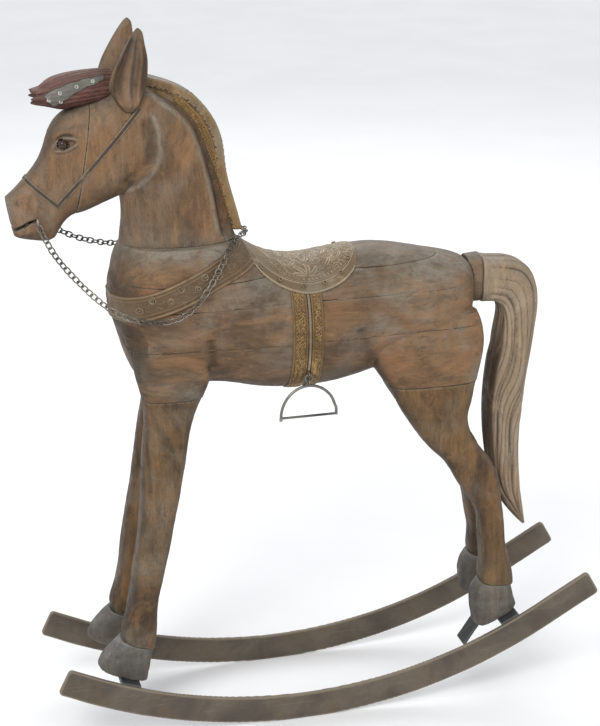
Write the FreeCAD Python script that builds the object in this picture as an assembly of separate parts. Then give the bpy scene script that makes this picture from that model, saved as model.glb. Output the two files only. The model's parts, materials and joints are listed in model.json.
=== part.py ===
import FreeCAD, Part
import math
import os

# A carved wooden rocking horse on two steel rockers.
# Millimetres, +Z up, the horse faces -X and its left side is -Y.
# Every x below is measured from the line where the rockers touch the floor.
# save() then moves it all by REST_X, so that the origin is on the floor under
# the middle of the overall length.

os.makedirs("parts", exist_ok=True)

V = FreeCAD.Vector
X_AXIS = V(1, 0, 0)
Y_AXIS = V(0, 1, 0)
Z_AXIS = V(0, 0, 1)
SIDES = (("left", -1), ("right", 1))

# ---- driving dimensions -------------------------------------------------
REST_X = -33.0

BAR_HEIGHT = 40.0          # the rockers are flat bar on edge
BAR_THICK = 6.0
ROCKER_INNER_Y = 88.0      # inner face of each rocker
ROCKER_RADIUS = 721.0      # centre line of the bar
ROCKER_FRONT_TURN = 25.9   # degrees of arc ahead of the lowest point
ROCKER_REAR_TURN = 29.4
ROCKER_FRONT_RUN = 38.0    # straight ends
ROCKER_REAR_RUN = 100.0
TIP_ROUND = 6.0            # rounded corners of the rockers' ends

CROSS_WIDTH = 30.0         # flat bar between the rockers, under the hooves
CROSS_THICK = 5.0
FRONT_CROSS_TURN = -21.2   # where each cross-bar sits on the arc, degrees
REAR_CROSS_TURN = 26.6
STOP_WIDTH = 30.0          # strip that stops the horse tipping backwards
STOP_THICK = 4.0
STOP_TOP = (314.0, 104.0)
STOP_END = (270.0, 39.0)

LEG_Y = 48.0               # middle of each leg
LEG_HALF = 25.0
# The right legs stand a little further back: by how much at and under the first
# height, and at and over the second.
RIGHT_FRONT_LEAN = ((0.0, 290.0), (18.0, 505.0))
RIGHT_REAR_LEAN = ((16.0, 200.0), (8.0, 300.0))
BARREL_HALF = 83.0         # half the width of the body
FRONT_LEG_JOINT_Z = 505.0
REAR_LEG_JOINT_Z = 491.0
NECK_JOINT_Z = 712.0
BOARD_JOINTS = (573.0, 630.0, 665.0)   # glue lines between the body's boards
FACE_JOINT = ((-266.0, 933.0), (-293.0, 771.0))
TAIL_JOINT_X = 277.0

SHEET = 1.4                # saddle, collar and girth sheet
STRIP = 1.0                # thin strips of the bridle and the mane
TACK_RADIUS = 2.6
TACK_HEIGHT = 1.3

STIRRUP_X = 8.0
STIRRUP_Y = 75.0           # plane in which a stirrup hangs
RING_Z = 520.4
RING_RADIUS = 4.9
RING_WIRE = 1.0
EYE_RADIUS = 3.0
EYE_WIRE = 0.8
LOOP_RADIUS = 3.2
LOOP_WIRE = 0.9
RUNNING_GAP = 0.1
BOW_HALF_WIDTH = 39.5
BOW_WIRE = 2.0
TREAD_Z = 465.0

CHAIN_RADIUS = 4.5         # half the width of the rein chain's links
MOUTH_X = -347.0
MOUTH_Z = 757.0
MOUTH_RING_Y = 32.0
MOUTH_RING_RADIUS = 5.0

# Each station is a slice of a carved piece: the two ends of the slice in the
# side view, (x, z) and (x, z), its half thickness, and how far its middle
# lies outside the piece's own middle plane.
BODY = [
    ((-252, 668), (-251, 612), 18),
    ((-244, 695), (-240, 577), 41),
    ((-233, 716), (-225, 532), 57),
    ((-206, 740), (-204, 510), 74),
    ((-152, 748), (-158, 507), 82),
    ((-96, 724), (-104, 506), BARREL_HALF),
    ((-42, 686), (-46, 494), BARREL_HALF),
    ((8, 674), (6, 490), BARREL_HALF),
    ((62, 679), (60, 494), 82),
    ((114, 684), (110, 506), 80),
    ((168, 676), (164, 520), 79),
    ((220, 664), (216, 530), 72),
    ((250, 655), (248, 554), 52),
    ((262, 642), (262, 588), 26),
]
NECK = [
    ((-235, 700), (-72, 700), 50),
    ((-236, 712), (-76, 712), 49),
    ((-232, 745), (-88, 745), 47),
    ((-234, 785), (-98, 785), 43),
    ((-238, 825), (-110, 825), 41),
    ((-240, 860), (-122, 858), 39),
    ((-238, 895), (-142, 888), 36),
    ((-232, 925), (-176, 912), 26),
]
HEAD = [
    ((-175, 892), (-179, 836), 26),
    ((-183, 919), (-195, 806), 34),
    ((-211, 927), (-226, 782), 38),
    ((-238, 918), (-259, 769), 39),
    ((-264, 908), (-290, 758), 37),
    ((-300, 897), (-306, 750), 33),
    ((-319, 880), (-315, 738), 30),
    ((-331, 852), (-322, 727), 28),
    ((-345, 825), (-334, 723), 27),
    ((-361, 806), (-350, 725), 26),
    ((-375, 792), (-366, 728), 24),
    ((-384, 785), (-376, 733), 19),
]
FRONT_LEG = [
    ((-240, 590), (-128, 590), 24, 0),
    ((-230, 545), (-124, 545), 27, 4),
    ((-221, 505), (-137, 505), 27, 4),
    ((-218, 480), (-147, 480), 26, 2),
    ((-222, 430), (-158, 430), 25, 0),
    ((-226, 360), (-171, 360), LEG_HALF, 0),
    ((-233, 295), (-184, 295), LEG_HALF, 0),
    ((-242, 235), (-198, 235), LEG_HALF, 0),
    ((-251, 185), (-207, 185), LEG_HALF, 0),
    ((-257, 143.2), (-212, 127.3), LEG_HALF, 0),
]
REAR_LEG = [
    ((120, 590), (260, 590), 24, -2),
    ((98, 545), (270, 545), 30, 2),
    ((113, 512), (265, 513), 31, 3),
    ((139, 470), (256, 474), 30, 3),
    ((160, 434), (250, 445), 27, 1),
    ((178, 408), (250, 422), LEG_HALF, 0),
    ((200, 380), (264, 390), LEG_HALF, 0),
    ((222, 357), (284, 364), LEG_HALF, 0),
    ((237, 330), (299, 334), LEG_HALF, 0),
    ((254, 304), (304, 304), LEG_HALF, 0),
    ((267, 282), (307, 280), 24, 0),
    ((273, 255), (310, 252), 24, 0),
    ((277, 212), (317, 213), 24, 0),
    ((276, 186), (325, 183), LEG_HALF, 0),
    ((278, 165.8), (328, 160.6), LEG_HALF, 0),
]
FRONT_HOOF = [
    ((-262, 145), (-214, 128), 24, 0),
    ((-278, 130), (-218, 109), 26, 0),
    ((-292, 112), (-223, 86), 27, 0),
    ((-296, 96), (-226, 68), 27, 0),
]
REAR_HOOF = [
    ((276, 166), (325, 161), 24, 0),
    ((266, 150), (328, 146), 26, 0),
    ((265, 122), (335, 122), 27, 0),
    ((270, 97), (344, 97), 27, 0),
]
DOCK = [
    ((256, 656), (258, 588), 23),
    ((TAIL_JOINT_X, 657), (TAIL_JOINT_X, 588), 25),
]
TAIL_BEND = [
    ((TAIL_JOINT_X, 657), (TAIL_JOINT_X, 588), 27),
    ((308, 651), (296, 587), 28),
    ((342, 640), (308, 578), 29),
    ((361, 611), (310, 560), 29),
    ((364, 566), (306, 533), 29),
    ((357, 505), (300, 495), 28),
]
TAIL_FALL = [
    TAIL_BEND[-1],
    ((350, 447), (295, 443), 27),
    ((346, 390), (296, 390), 26),
    ((347, 333), (303, 335), 24),
    ((353, 284), (317, 285), 20),
    ((359, 256), (336, 254), 13),
    ((366, 228), (362, 225), 4),
]
EAR = [
    ((-229, 898), (-217, 896), 5, 0),
    ((-238, 908), (-208, 904), 9, 0),
    ((-247, 927), (-200, 924), 11, 1),
    ((-243, 946), (-197, 943), 11, 1),
    ((-233, 966), (-196, 964), 9, 0),
    ((-222, 985), (-199, 984), 6, -2),
    ((-212, 1002), (-203, 1001), 3, -4),
]
EAR_HOLLOW = [
    ((-230, 908), (-214, 905), 4, 10),
    ((-239, 926), (-207, 924), 6, 10),
    ((-236, 946), (-204, 944), 6, 10),
    ((-227, 965), (-204, 964), 5, 8),
    ((-216, 984), (-206, 984), 3, 4),
]
EAR_Y = 33.0
RIGHT_EAR_SHIFT = (-4, 0, 4)
FORELOCK = [
    ((-250, 949), (-250, 920), 12),
    ((-263, 949), (-265, 908), 19),
    ((-283, 946), (-286, 898), 25),
    ((-303, 941), (-306, 897), 28),
    ((-320, 935), (-322, 900), 26),
    ((-333, 929), (-334, 906), 20),
    ((-344, 922), (-344, 911), 11),
]
MANE_OUTER = [(-198, 936), (-165, 926), (-134, 909), (-110, 881), (-96, 847),
              (-91, 806), (-82, 768), (-70, 722)]
MANE_INNER = [(-98, 722), (-108, 752), (-116, 785), (-124, 820), (-133, 852),
              (-147, 880), (-170, 903), (-196, 917)]
MANE_HALF = 12.0
MANE_STRIP_OUTER = [(-164, 917), (-141, 899), (-120, 873), (-107, 843), (-100, 805),
                    (-91, 768), (-82, 736)]
MANE_STRIP_INNER = [(-98, 736), (-107, 769), (-116, 805), (-126, 843), (-139, 873),
                    (-156, 893)]

SADDLE_EDGE = [(-70, 716), (-66, 696), (-58, 678), (-42, 661), (-18, 647), (10, 640),
               (36, 643), (58, 651), (74, 662), (84, 674), (90, 684), (94, 700)]
COLLAR_UPPER = [(-280, 648), (-251, 648), (-209, 659), (-156, 680), (-112, 700), (-60, 722)]
COLLAR_LOWER = [(-40, 690), (-72, 678), (-116, 661), (-156, 641), (-194, 627),
                (-226, 617), (-252, 611), (-280, 610)]
FRONT_GIRTH = (-16.0, 5.0)
REAR_GIRTH = (11.0, 27.0)
CHEEK_STRIP_LINE = ((-201, 907), (-319, 776))
NOSE_STRIP_LINE = ((-317, 773), (-366, 817))
BRIDLE_WIDTH = 6.0

# The rein chain runs from the left mouth ring over the withers to the right one.
CHAIN_ROUTE = [
    (-346, -33, 752), (-339, -37, 734), (-327, -44, 711), (-309, -54, 688),
    (-287, -65, 664), (-261, -76, 641), (-231, -84, 627), (-200, -89, 622),
    (-170, -91, 628), (-147, -92, 646), (-129, -88, 669), (-114, -79, 691),
    (-98, -64, 710), (-81, -40, 720), (-63, -14, 718), (-63, 14, 718),
    (-80, 40, 721), (-100, 62, 715), (-125, 75, 706), (-153, 81, 698),
    (-182, 80, 692), (-210, 72, 690), (-237, 58, 694), (-263, 47, 702),
    (-289, 41, 712), (-312, 37, 725), (-331, 35, 738), (-346, 33, 752),
]


# ---- shape helpers -------------------------------------------------------
def ring(first, last, half, mid_y, power):
    """Closed smooth outline of one slice, flatter on its sides as power rises."""
    middle = V((first[0] + last[0]) / 2.0, mid_y, (first[1] + last[1]) / 2.0)
    reach = V((last[0] - first[0]) / 2.0, 0, (last[1] - first[1]) / 2.0)
    steps = 16
    points = []
    for step in range(steps):
        angle = 2.0 * math.pi * step / steps
        along = math.copysign(abs(math.cos(angle)) ** (2.0 / power), math.cos(angle))
        across = math.copysign(abs(math.sin(angle)) ** (2.0 / power), math.sin(angle))
        points.append(middle + reach * along + Y_AXIS * (half * across))
    curve = Part.BSplineCurve()
    curve.interpolate(Points=points, PeriodicFlag=True)
    return Part.Wire([curve.toShape()])


def carve(stations, mid_y=0.0, power=2.4, grow=0.0):
    """Solid that runs smoothly through the slices; grow adds to it all round."""
    rings = []
    side = -1.0 if mid_y < 0 else 1.0
    for number, station in enumerate(stations):
        first, last, half = station[0], station[1], station[2]
        shift = station[3] if len(station) > 3 else 0.0
        length = math.hypot(last[0] - first[0], last[1] - first[1])
        ux = (last[0] - first[0]) / length
        uz = (last[1] - first[1]) / length
        ahead = grow if number == 0 else 0.0
        first = (first[0] - ux * grow + uz * ahead, first[1] - uz * grow - ux * ahead)
        last = (last[0] + ux * grow + uz * ahead, last[1] + uz * grow - ux * ahead)
        rings.append(ring(first, last, half + grow, mid_y + side * shift, power))
    return Part.makeLoft(rings, True, False)


def leaning(stations, lean):
    """The same slices, each moved back by what lean gives for its height."""
    (low_shift, low_z), (high_shift, high_z) = lean
    moved = []
    for (x0, z0), (x1, z1), half, out in stations:
        share = min(max(((z0 + z1) / 2.0 - low_z) / (high_z - low_z), 0.0), 1.0)
        back = low_shift + (high_shift - low_shift) * share
        moved.append(((x0 + back, z0), (x1 + back, z1), half, out))
    return moved


def slab(x_low, x_high, z_low, z_high, y_low=-150.0, y_high=150.0):
    corner = V(x_low, y_low, z_low)
    return Part.makeBox(x_high - x_low, y_high - y_low, z_high - z_low, corner)


def prism(curve_points, other_points=(), y_low=-150.0, y_high=150.0, smooth=True):
    """Side-view outline: a smooth run of points, then a second one, carried across."""
    edges = []
    runs = [run for run in (curve_points, other_points) if run]
    starts = []
    ends = []
    for run in runs:
        points = [V(x, y_low, z) for x, z in run]
        starts.append(points[0])
        ends.append(points[-1])
        if smooth and len(points) > 2:
            curve = Part.BSplineCurve()
            curve.interpolate(points)
            edges.append([curve.toShape()])
        else:
            lines = [Part.LineSegment(a, b).toShape() for a, b in zip(points, points[1:])]
            edges.append(lines)
    outline = []
    for number in range(len(runs)):
        outline += edges[number]
        following = starts[(number + 1) % len(runs)]
        outline.append(Part.LineSegment(ends[number], following).toShape())
    return Part.Face(Part.Wire(outline)).extrude(V(0, y_high - y_low, 0))


def band(line, width):
    """Straight strip of the side view, carried across the horse."""
    (x0, z0), (x1, z1) = line
    length = math.hypot(x1 - x0, z1 - z0)
    nx = -(z1 - z0) / length * width / 2.0
    nz = (x1 - x0) / length * width / 2.0
    corners = [(x0 + nx, z0 + nz), (x1 + nx, z1 + nz), (x1 - nx, z1 - nz), (x0 - nx, z0 - nz)]
    return prism(corners, smooth=False)


def wire_circle(centre, axis, radius, wire):
    torus = Part.makeTorus(radius, wire)
    torus.Placement = FreeCAD.Placement(centre, FreeCAD.Rotation(Z_AXIS, axis))
    return torus


def rod(start, end, radius):
    return Part.makeCylinder(radius, (end - start).Length, start, end - start)


def surface_y(shape, x, z, side):
    """Where a line across the horse at (x, z) leaves the shape on one side."""
    line = Part.makeLine(V(x, 0, z), V(x, side * 150.0, z))
    hits = shape.common(line)
    return max(abs(vertex.Y) for vertex in hits.Vertexes) * side


def tack(shape, x, z, side):
    """Small round head that lies on a surface, square to it."""
    step = 1.5
    here = V(x, surface_y(shape, x, z, side), z)
    ahead = V(x + step, surface_y(shape, x + step, z, side), z)
    above = V(x, surface_y(shape, x, z + step, side), z + step)
    normal = (ahead - here).cross(above - here)
    normal.normalize()
    if normal.y * side < 0:
        normal = normal * -1.0
    head = Part.makeCylinder(TACK_RADIUS, TACK_HEIGHT + 1.0, here - normal, normal)
    return head


def tacks(places, surface, covered):
    heads = []
    for x, z in places:
        for name, side in SIDES:
            heads.append(tack(surface, x, z, side).cut(covered))
    return Part.makeCompound(heads)


def save(name, shape):
    shape = shape.copy()
    shape.translate(V(REST_X, 0, 0))
    solids = shape.Solids
    shape = solids[0] if len(solids) == 1 else Part.makeCompound(solids)
    shape.exportStep("parts/" + name + ".step")
    print(name, len(solids), round(shape.Volume / 1000.0, 2), shape.isValid())


# ---- rockers, cross-bars and tip stop ----------------------------------------
ARC_CENTRE_Z = ROCKER_RADIUS + BAR_HEIGHT / 2.0
INNER_RADIUS = ROCKER_RADIUS - BAR_HEIGHT / 2.0
OUTER_Y = ROCKER_INNER_Y + BAR_THICK


def on_arc(turn, radius):
    """Point (x, z) at an angle, in degrees, behind the rest line."""
    angle = math.radians(turn)
    return (radius * math.sin(angle), ARC_CENTRE_Z - radius * math.cos(angle))


def rocker_bar(y_low):
    outer_radius = ROCKER_RADIUS + BAR_HEIGHT / 2.0
    corners = []
    for turn, run in ((-ROCKER_FRONT_TURN, -ROCKER_FRONT_RUN), (ROCKER_REAR_TURN, ROCKER_REAR_RUN)):
        angle = math.radians(turn)
        for radius in (INNER_RADIUS, outer_radius):
            x, z = on_arc(turn, radius)
            tip = V(x + run * math.cos(angle), y_low, z + run * math.sin(angle))
            corners.append((V(x, y_low, z), tip))
    front_in, front_out, rear_in, rear_out = corners
    low_in = V(0, y_low, ARC_CENTRE_Z - INNER_RADIUS)
    low_out = V(0, y_low, ARC_CENTRE_Z - outer_radius)
    outline = [
        Part.LineSegment(front_in[1], front_in[0]).toShape(),
        Part.Arc(front_in[0], low_in, rear_in[0]).toShape(),
        Part.LineSegment(rear_in[0], rear_in[1]).toShape(),
        Part.LineSegment(rear_in[1], rear_out[1]).toShape(),
        Part.LineSegment(rear_out[1], rear_out[0]).toShape(),
        Part.Arc(rear_out[0], low_out, front_out[0]).toShape(),
        Part.LineSegment(front_out[0], front_out[1]).toShape(),
        Part.LineSegment(front_out[1], front_in[1]).toShape(),
    ]
    bar = Part.Face(Part.Wire(outline)).extrude(V(0, BAR_THICK, 0))
    tips = [pair[1] for pair in corners]
    corner_edges = [edge for edge in bar.Edges
                    if any(edge.distToShape(Part.Vertex(tip))[0] < 0.01 for tip in tips)
                    and abs(edge.BoundBox.YLength - BAR_THICK) < 0.01
                    and edge.BoundBox.XLength < 0.01]
    return bar.makeFillet(TIP_ROUND, corner_edges)


def on_rocker(shape, turn):
    """Carry a shape drawn about the origin to a place on the bars' upper edges."""
    placed = shape.copy()
    placed.rotate(V(0, 0, 0), Y_AXIS, -turn)
    x, z = on_arc(turn, INNER_RADIUS)
    placed.translate(V(x, 0, z))
    return placed


SOLE = 1.0                 # the cross-bars stand this far above the rockers' edges
SEAT = SOLE - CROSS_THICK


def cross_bar(turn):
    flat = Part.makeBox(CROSS_WIDTH, 2 * ROCKER_INNER_Y, CROSS_THICK,
                        V(-CROSS_WIDTH / 2.0, -ROCKER_INNER_Y, SEAT))
    return on_rocker(flat, turn)


def hoof_screw(turn, along, mid_y, part):
    length = 42.0
    shank = Part.makeCylinder(2.5, length, V(along, mid_y, SEAT - 0.5), Z_AXIS)
    head = Part.makeCylinder(5.0, 3.0, V(along, mid_y, SEAT - 3.0), Z_AXIS)
    return on_rocker(shank.fuse(head) if part == "whole" else shank, turn)


left_rocker = rocker_bar(-OUTER_Y)
right_rocker = rocker_bar(ROCKER_INNER_Y)
front_cross = cross_bar(FRONT_CROSS_TURN)
rear_cross = cross_bar(REAR_CROSS_TURN)

stop_run = V(STOP_END[0] - STOP_TOP[0], 0, STOP_END[1] - STOP_TOP[1])
tip_stop = Part.makeBox(stop_run.Length, STOP_WIDTH, STOP_THICK,
                        V(0, -STOP_WIDTH / 2.0, -STOP_THICK / 2.0))
tip_stop.rotate(V(0, 0, 0), Y_AXIS, -math.degrees(math.atan2(stop_run.z, stop_run.x)))
tip_stop.translate(V(STOP_TOP[0], 0, STOP_TOP[1]))
tip_stop = tip_stop.cut(rear_cross)
tip_stop = max(tip_stop.Solids, key=lambda solid: solid.Volume)

# ---- carved wood ---------------------------------------------------------------
barrel = carve(BODY, power=2.3)
grown_barrel = carve(BODY, power=2.3, grow=SHEET)
head_form = carve(HEAD, power=2.6)
neck_form = carve(NECK, power=2.3)
face_tilt_x = (FACE_JOINT[0][0] - FACE_JOINT[1][0]) / (FACE_JOINT[0][1] - FACE_JOINT[1][1])
face_top = (FACE_JOINT[0][0] + 120.0 * face_tilt_x, FACE_JOINT[0][1] + 120.0)
face_low = (FACE_JOINT[1][0] - 120.0 * face_tilt_x, FACE_JOINT[1][1] - 120.0)
ahead_of_face = prism([face_top, face_low, (-500, face_low[1]), (-500, face_top[1])], smooth=False)

dowels = {"leg_dowels": [], "hoof_dowels": [], "neck_dowels": [], "ear_pegs": [], "tail_dowel": []}
legs = {}
hooves = {}
screws = []
torso = barrel
for side_name, side in SIDES:
    for end, form, hoof_form, joint_z, turn, screw_x, lean in (
            ("front", FRONT_LEG, FRONT_HOOF, FRONT_LEG_JOINT_Z, FRONT_CROSS_TURN, 0.0,
             RIGHT_FRONT_LEAN),
            ("rear", REAR_LEG, REAR_HOOF, REAR_LEG_JOINT_Z, REAR_CROSS_TURN, -6.0,
             RIGHT_REAR_LEAN)):
        name = side_name + "_" + end
        if side > 0:
            form = leaning(form, lean)
            hoof_form = leaning(hoof_form, lean)
        leg = carve(form, side * LEG_Y, 2.8)
        hoof = carve(hoof_form, side * LEG_Y, 2.8)
        torso = torso.fuse(leg.common(slab(-400, 400, joint_z, 800)))
        legs[name] = leg.common(slab(-400, 400, 0, joint_z))
        below_sole = on_rocker(slab(-90, 90, -90, SOLE), turn)
        hoof = hoof.cut(below_sole).cut(legs[name])
        hooves[name] = max(hoof.Solids, key=lambda solid: solid.Volume)
        screws.append(hoof_screw(turn, screw_x, side * LEG_Y, "whole"))
        hooves[name] = hooves[name].cut(hoof_screw(turn, screw_x, side * LEG_Y, "shank"))
        middle = (form[2][0][0] + form[2][1][0]) / 2.0
        for spread in (-22.0, 22.0):
            foot = V(middle + spread, side * (LEG_Y + 3.0), joint_z - 35.0)
            dowels["leg_dowels"].append(Part.makeCylinder(8.0, 70.0, foot))
        ankle = V((form[-1][0][0] + form[-1][1][0]) / 2.0 + (8.0 if end == "front" else 3.0),
                  side * LEG_Y, 112.0 if end == "front" else 141.0)
        dowels["hoof_dowels"].append(Part.makeCylinder(7.0, 55.0, ankle))

torso = torso.cut(slab(-400, 400, NECK_JOINT_Z, 900))
for screw_turn, screw_x in ((FRONT_CROSS_TURN, 0.0), (REAR_CROSS_TURN, -6.0)):
    for side_name, side in SIDES:
        shank = hoof_screw(screw_turn, screw_x, side * LEG_Y, "shank")
        if screw_turn < 0:
            front_cross = front_cross.cut(shank)
        else:
            rear_cross = rear_cross.cut(shank)

dowels["neck_dowels"] = [Part.makeCylinder(9.0, 76.0, V(x, 0, NECK_JOINT_Z - 38.0))
                         for x in (-200.0, -130.0)]
dowels["tail_dowel"] = [Part.makeCylinder(9.0, 66.0, V(240.0, 0, 625.0), X_AXIS)]
dowels["ear_pegs"] = [rod(V(-222, side * 18.0, 900), V(-221, side * 35.0, 922), 4.0)
                      for side_name, side in SIDES]

mane = prism(MANE_OUTER, MANE_INNER, -MANE_HALF, MANE_HALF)
neck_and_head = neck_form.fuse(head_form).cut(slab(-400, 0, 600, NECK_JOINT_Z)).cut(mane)
neck_block = neck_and_head.cut(ahead_of_face)
face_block = head_form.common(ahead_of_face)
wooden_head = neck_and_head.fuse(face_block)

mouth_cut = prism([(-395, 743.5), (-376, 744.5), (-356, 755.5), (-346, 758.5), (-346, 756.5),
                   (-356, 753.0), (-376, 741.5), (-395, 740.5)], smooth=False)
eye_beads = []
for side_name, side in SIDES:
    eye_beads.append(Part.makeSphere(6.5, V(-309, side * 26.5, 857)))
eye_beads = Part.makeCompound(eye_beads)
face_block = face_block.cut(mouth_cut).cut(eye_beads)

ears = {}
for side_name, side in SIDES:
    ear = carve(EAR, side * EAR_Y, 2.4).cut(carve(EAR_HOLLOW, side * EAR_Y, 2.4))
    if side > 0:
        ear.translate(V(*RIGHT_EAR_SHIFT))
    ears[side_name] = ear.cut(wooden_head)

forelock = carve(FORELOCK, power=2.4).cut(wooden_head)
forelock = max(forelock.Solids, key=lambda solid: solid.Volume)
forelock = forelock.cut(ears["left"]).cut(ears["right"])
forelock_skin = carve(FORELOCK, power=2.4, grow=STRIP).cut(carve(FORELOCK, power=2.4))
forelock_bands = forelock_skin.common(prism([(-345, 916), (-322, 922), (-290, 931), (-262, 941)],
                                            [(-262, 932), (-290, 921), (-322, 911), (-345, 908)]))
forelock_bands = forelock_bands.cut(wooden_head).cut(ears["left"]).cut(ears["right"])

mane_strips = {}
for side_name, y_low in (("left", -MANE_HALF - STRIP), ("right", MANE_HALF)):
    strip = prism(MANE_STRIP_OUTER, MANE_STRIP_INNER, y_low, y_low + STRIP)
    mane_strips[side_name] = strip.cut(wooden_head)

dock = carve(DOCK, power=3.0).cut(torso)
dock = max(dock.Solids, key=lambda solid: solid.Volume)
tail = carve(TAIL_BEND, power=4.0).fuse(carve(TAIL_FALL, power=4.0)).removeSplitter()

# ---- sheet metal dressing --------------------------------------------------------
skin = grown_barrel.cut(torso)
saddle_outline = prism(SADDLE_EDGE, [(94, 740), (-70, 740)])
saddle = skin.common(saddle_outline)
collar_outline = prism(COLLAR_UPPER, COLLAR_LOWER)
collar = skin.common(collar_outline).cut(slab(-400, 400, NECK_JOINT_Z, 900)).cut(saddle_outline)
girths = {}
for name, (x_low, x_high) in (("front_girth", FRONT_GIRTH), ("rear_girth", REAR_GIRTH)):
    girths[name] = skin.common(slab(x_low, x_high, 400, 660)).cut(saddle_outline)

head_skin = carve(HEAD, power=2.6, grow=STRIP).cut(wooden_head)
cheek = head_skin.common(band(CHEEK_STRIP_LINE, BRIDLE_WIDTH)).cut(ears["left"]).cut(ears["right"])
nose_strip = head_skin.common(band(NOSE_STRIP_LINE, BRIDLE_WIDTH))
nose_strip = nose_strip.common(slab(-400, -318, 700, 900))
cheek = cheek.cut(nose_strip)
cheek_strips = {"left": cheek.common(slab(-400, 0, 700, 1000, -150, 0)),
                "right": cheek.common(slab(-400, 0, 700, 1000, 0, 150))}

saddle_tacks = tacks([(-52, 677), (-28, 660), (4, 650), (34, 652), (58, 662), (74, 676)],
                     saddle, saddle)
collar_tacks = tacks([(-206, 650), (-182, 650), (-168, 664), (-145, 664), (-135, 680)],
                     collar, collar)
forelock_tacks = tacks([(-314, 918), (-294, 925), (-274, 932)],
                       forelock.fuse(forelock_bands), forelock.fuse(forelock_bands))


# ---- stirrups ----------------------------------------------------------------------
def stirrup_set(side):
    """Strap with its eye, the ring that hangs in it, and the stirrup on the ring."""
    y = side * STIRRUP_Y
    eye_z = RING_Z + RING_RADIUS - RING_WIRE - EYE_WIRE - RUNNING_GAP + EYE_RADIUS
    loop_z = RING_Z - RING_RADIUS + RING_WIRE + LOOP_WIRE + RUNNING_GAP - LOOP_RADIUS
    ring_piece = wire_circle(V(STIRRUP_X, y, RING_Z), Y_AXIS, RING_RADIUS, RING_WIRE)
    eye = wire_circle(V(STIRRUP_X, y, eye_z), X_AXIS, EYE_RADIUS, EYE_WIRE)
    loop = wire_circle(V(STIRRUP_X, y, loop_z), X_AXIS, LOOP_RADIUS, LOOP_WIRE)

    strap_skin = skin.common(slab(STIRRUP_X - 1.5, STIRRUP_X + 1.5, 528, 641))
    strap = strap_skin.common(slab(-400, 400, 0, 900, min(0, side * 150), max(0, side * 150)))
    foot_y = surface_y(torso, STIRRUP_X, 531.0, side)
    link = rod(V(STIRRUP_X, foot_y + side * 0.2, 531.0),
               V(STIRRUP_X, y - side * 1.0, eye_z + EYE_RADIUS), EYE_WIRE)
    strap = strap.fuse(link).fuse(eye).cut(torso).cut(saddle)
    strap = max(strap.Solids, key=lambda solid: solid.Volume)

    top = loop_z - LOOP_RADIUS - BOW_WIRE + 0.4
    rise = top - TREAD_Z
    arch_points = []
    for step in range(13):
        angle = math.pi * step / 12.0
        arch_points.append(V(STIRRUP_X - BOW_HALF_WIDTH * math.cos(angle), y,
                             TREAD_Z + rise * math.sin(angle)))
    arch_curve = Part.BSplineCurve()
    arch_curve.interpolate(Points=arch_points, InitialTangent=Z_AXIS, FinalTangent=Z_AXIS * -1)
    section = Part.Wire([Part.makeCircle(BOW_WIRE, arch_points[0], Z_AXIS)])
    arch = Part.Wire([arch_curve.toShape()]).makePipeShell([section], True, False)
    tread = rod(V(STIRRUP_X - BOW_HALF_WIDTH, y, TREAD_Z),
                V(STIRRUP_X + BOW_HALF_WIDTH, y, TREAD_Z), BOW_WIRE * 0.85)
    heel = Part.makeSphere(BOW_WIRE * 1.15, V(STIRRUP_X + BOW_HALF_WIDTH, y, TREAD_Z))
    toe = rod(V(STIRRUP_X - BOW_HALF_WIDTH, y, TREAD_Z - 4.0),
              V(STIRRUP_X - BOW_HALF_WIDTH, y, TREAD_Z + 0.5), BOW_WIRE * 1.15)
    bow = arch.fuse(tread).fuse(heel).fuse(toe).fuse(loop)
    return strap, ring_piece, bow


# ---- rein chain ---------------------------------------------------------------------
def chain_tube(points, radius):
    """Straight runs joined by tangent arcs, each as large as its runs allow."""
    points = [V(*point) for point in points]
    edges = []
    here = points[0]
    radii = []
    for before, corner, after in zip(points, points[1:], points[2:]):
        inward = (corner - before)
        outward = (after - corner)
        shorter = min(inward.Length, outward.Length)
        inward.normalize()
        outward.normalize()
        turn = inward.getAngle(outward)
        cut = 0.45 * shorter
        radii.append(cut / math.tan(turn / 2.0))
        start = corner - inward * cut
        end = corner + outward * cut
        inside = (outward - inward)
        inside.normalize()
        bulge = radii[-1] * (1.0 / math.cos(turn / 2.0) - 1.0)
        middle = corner + inside * bulge
        edges.append(Part.LineSegment(here, start).toShape())
        edges.append(Part.Arc(start, middle, end).toShape())
        here = end
    edges.append(Part.LineSegment(here, points[-1]).toShape())
    path = Part.Wire(edges)
    first_way = points[1] - points[0]
    section = Part.Wire([Part.makeCircle(radius, points[0], first_way)])
    tube = path.makePipeShell([section], True, True)
    expected = math.pi * radius ** 2 * path.Length
    print("chain length", round(path.Length, 1), "smallest arc", round(min(radii), 1),
          "volume ratio", round(tube.Volume / expected, 4))
    return tube


rein_chain = chain_tube(CHAIN_ROUTE, CHAIN_RADIUS)
mouth_rings = {}
for side_name, side in SIDES:
    centre = V(MOUTH_X, side * MOUTH_RING_Y, MOUTH_Z)
    ring_eye = wire_circle(centre, X_AXIS, MOUTH_RING_RADIUS, 1.1)
    shank = rod(V(MOUTH_X, side * 12.0, MOUTH_Z),
                V(MOUTH_X, side * (MOUTH_RING_Y - MOUTH_RING_RADIUS + 0.4), MOUTH_Z), 1.3)
    face_block = face_block.cut(shank)
    mouth_rings[side_name] = ring_eye.fuse(shank)

# ---- holes for the hidden dowels -----------------------------------------------------
for group in dowels.values():
    pegs = Part.makeCompound(group)
    torso = torso.cut(pegs)
    neck_block = neck_block.cut(pegs)
    dock = dock.cut(pegs)
    tail = tail.cut(pegs)
    for name in legs:
        legs[name] = legs[name].cut(pegs)
        hooves[name] = hooves[name].cut(pegs)
    for name in ears:
        ears[name] = ears[name].cut(pegs)

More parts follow.
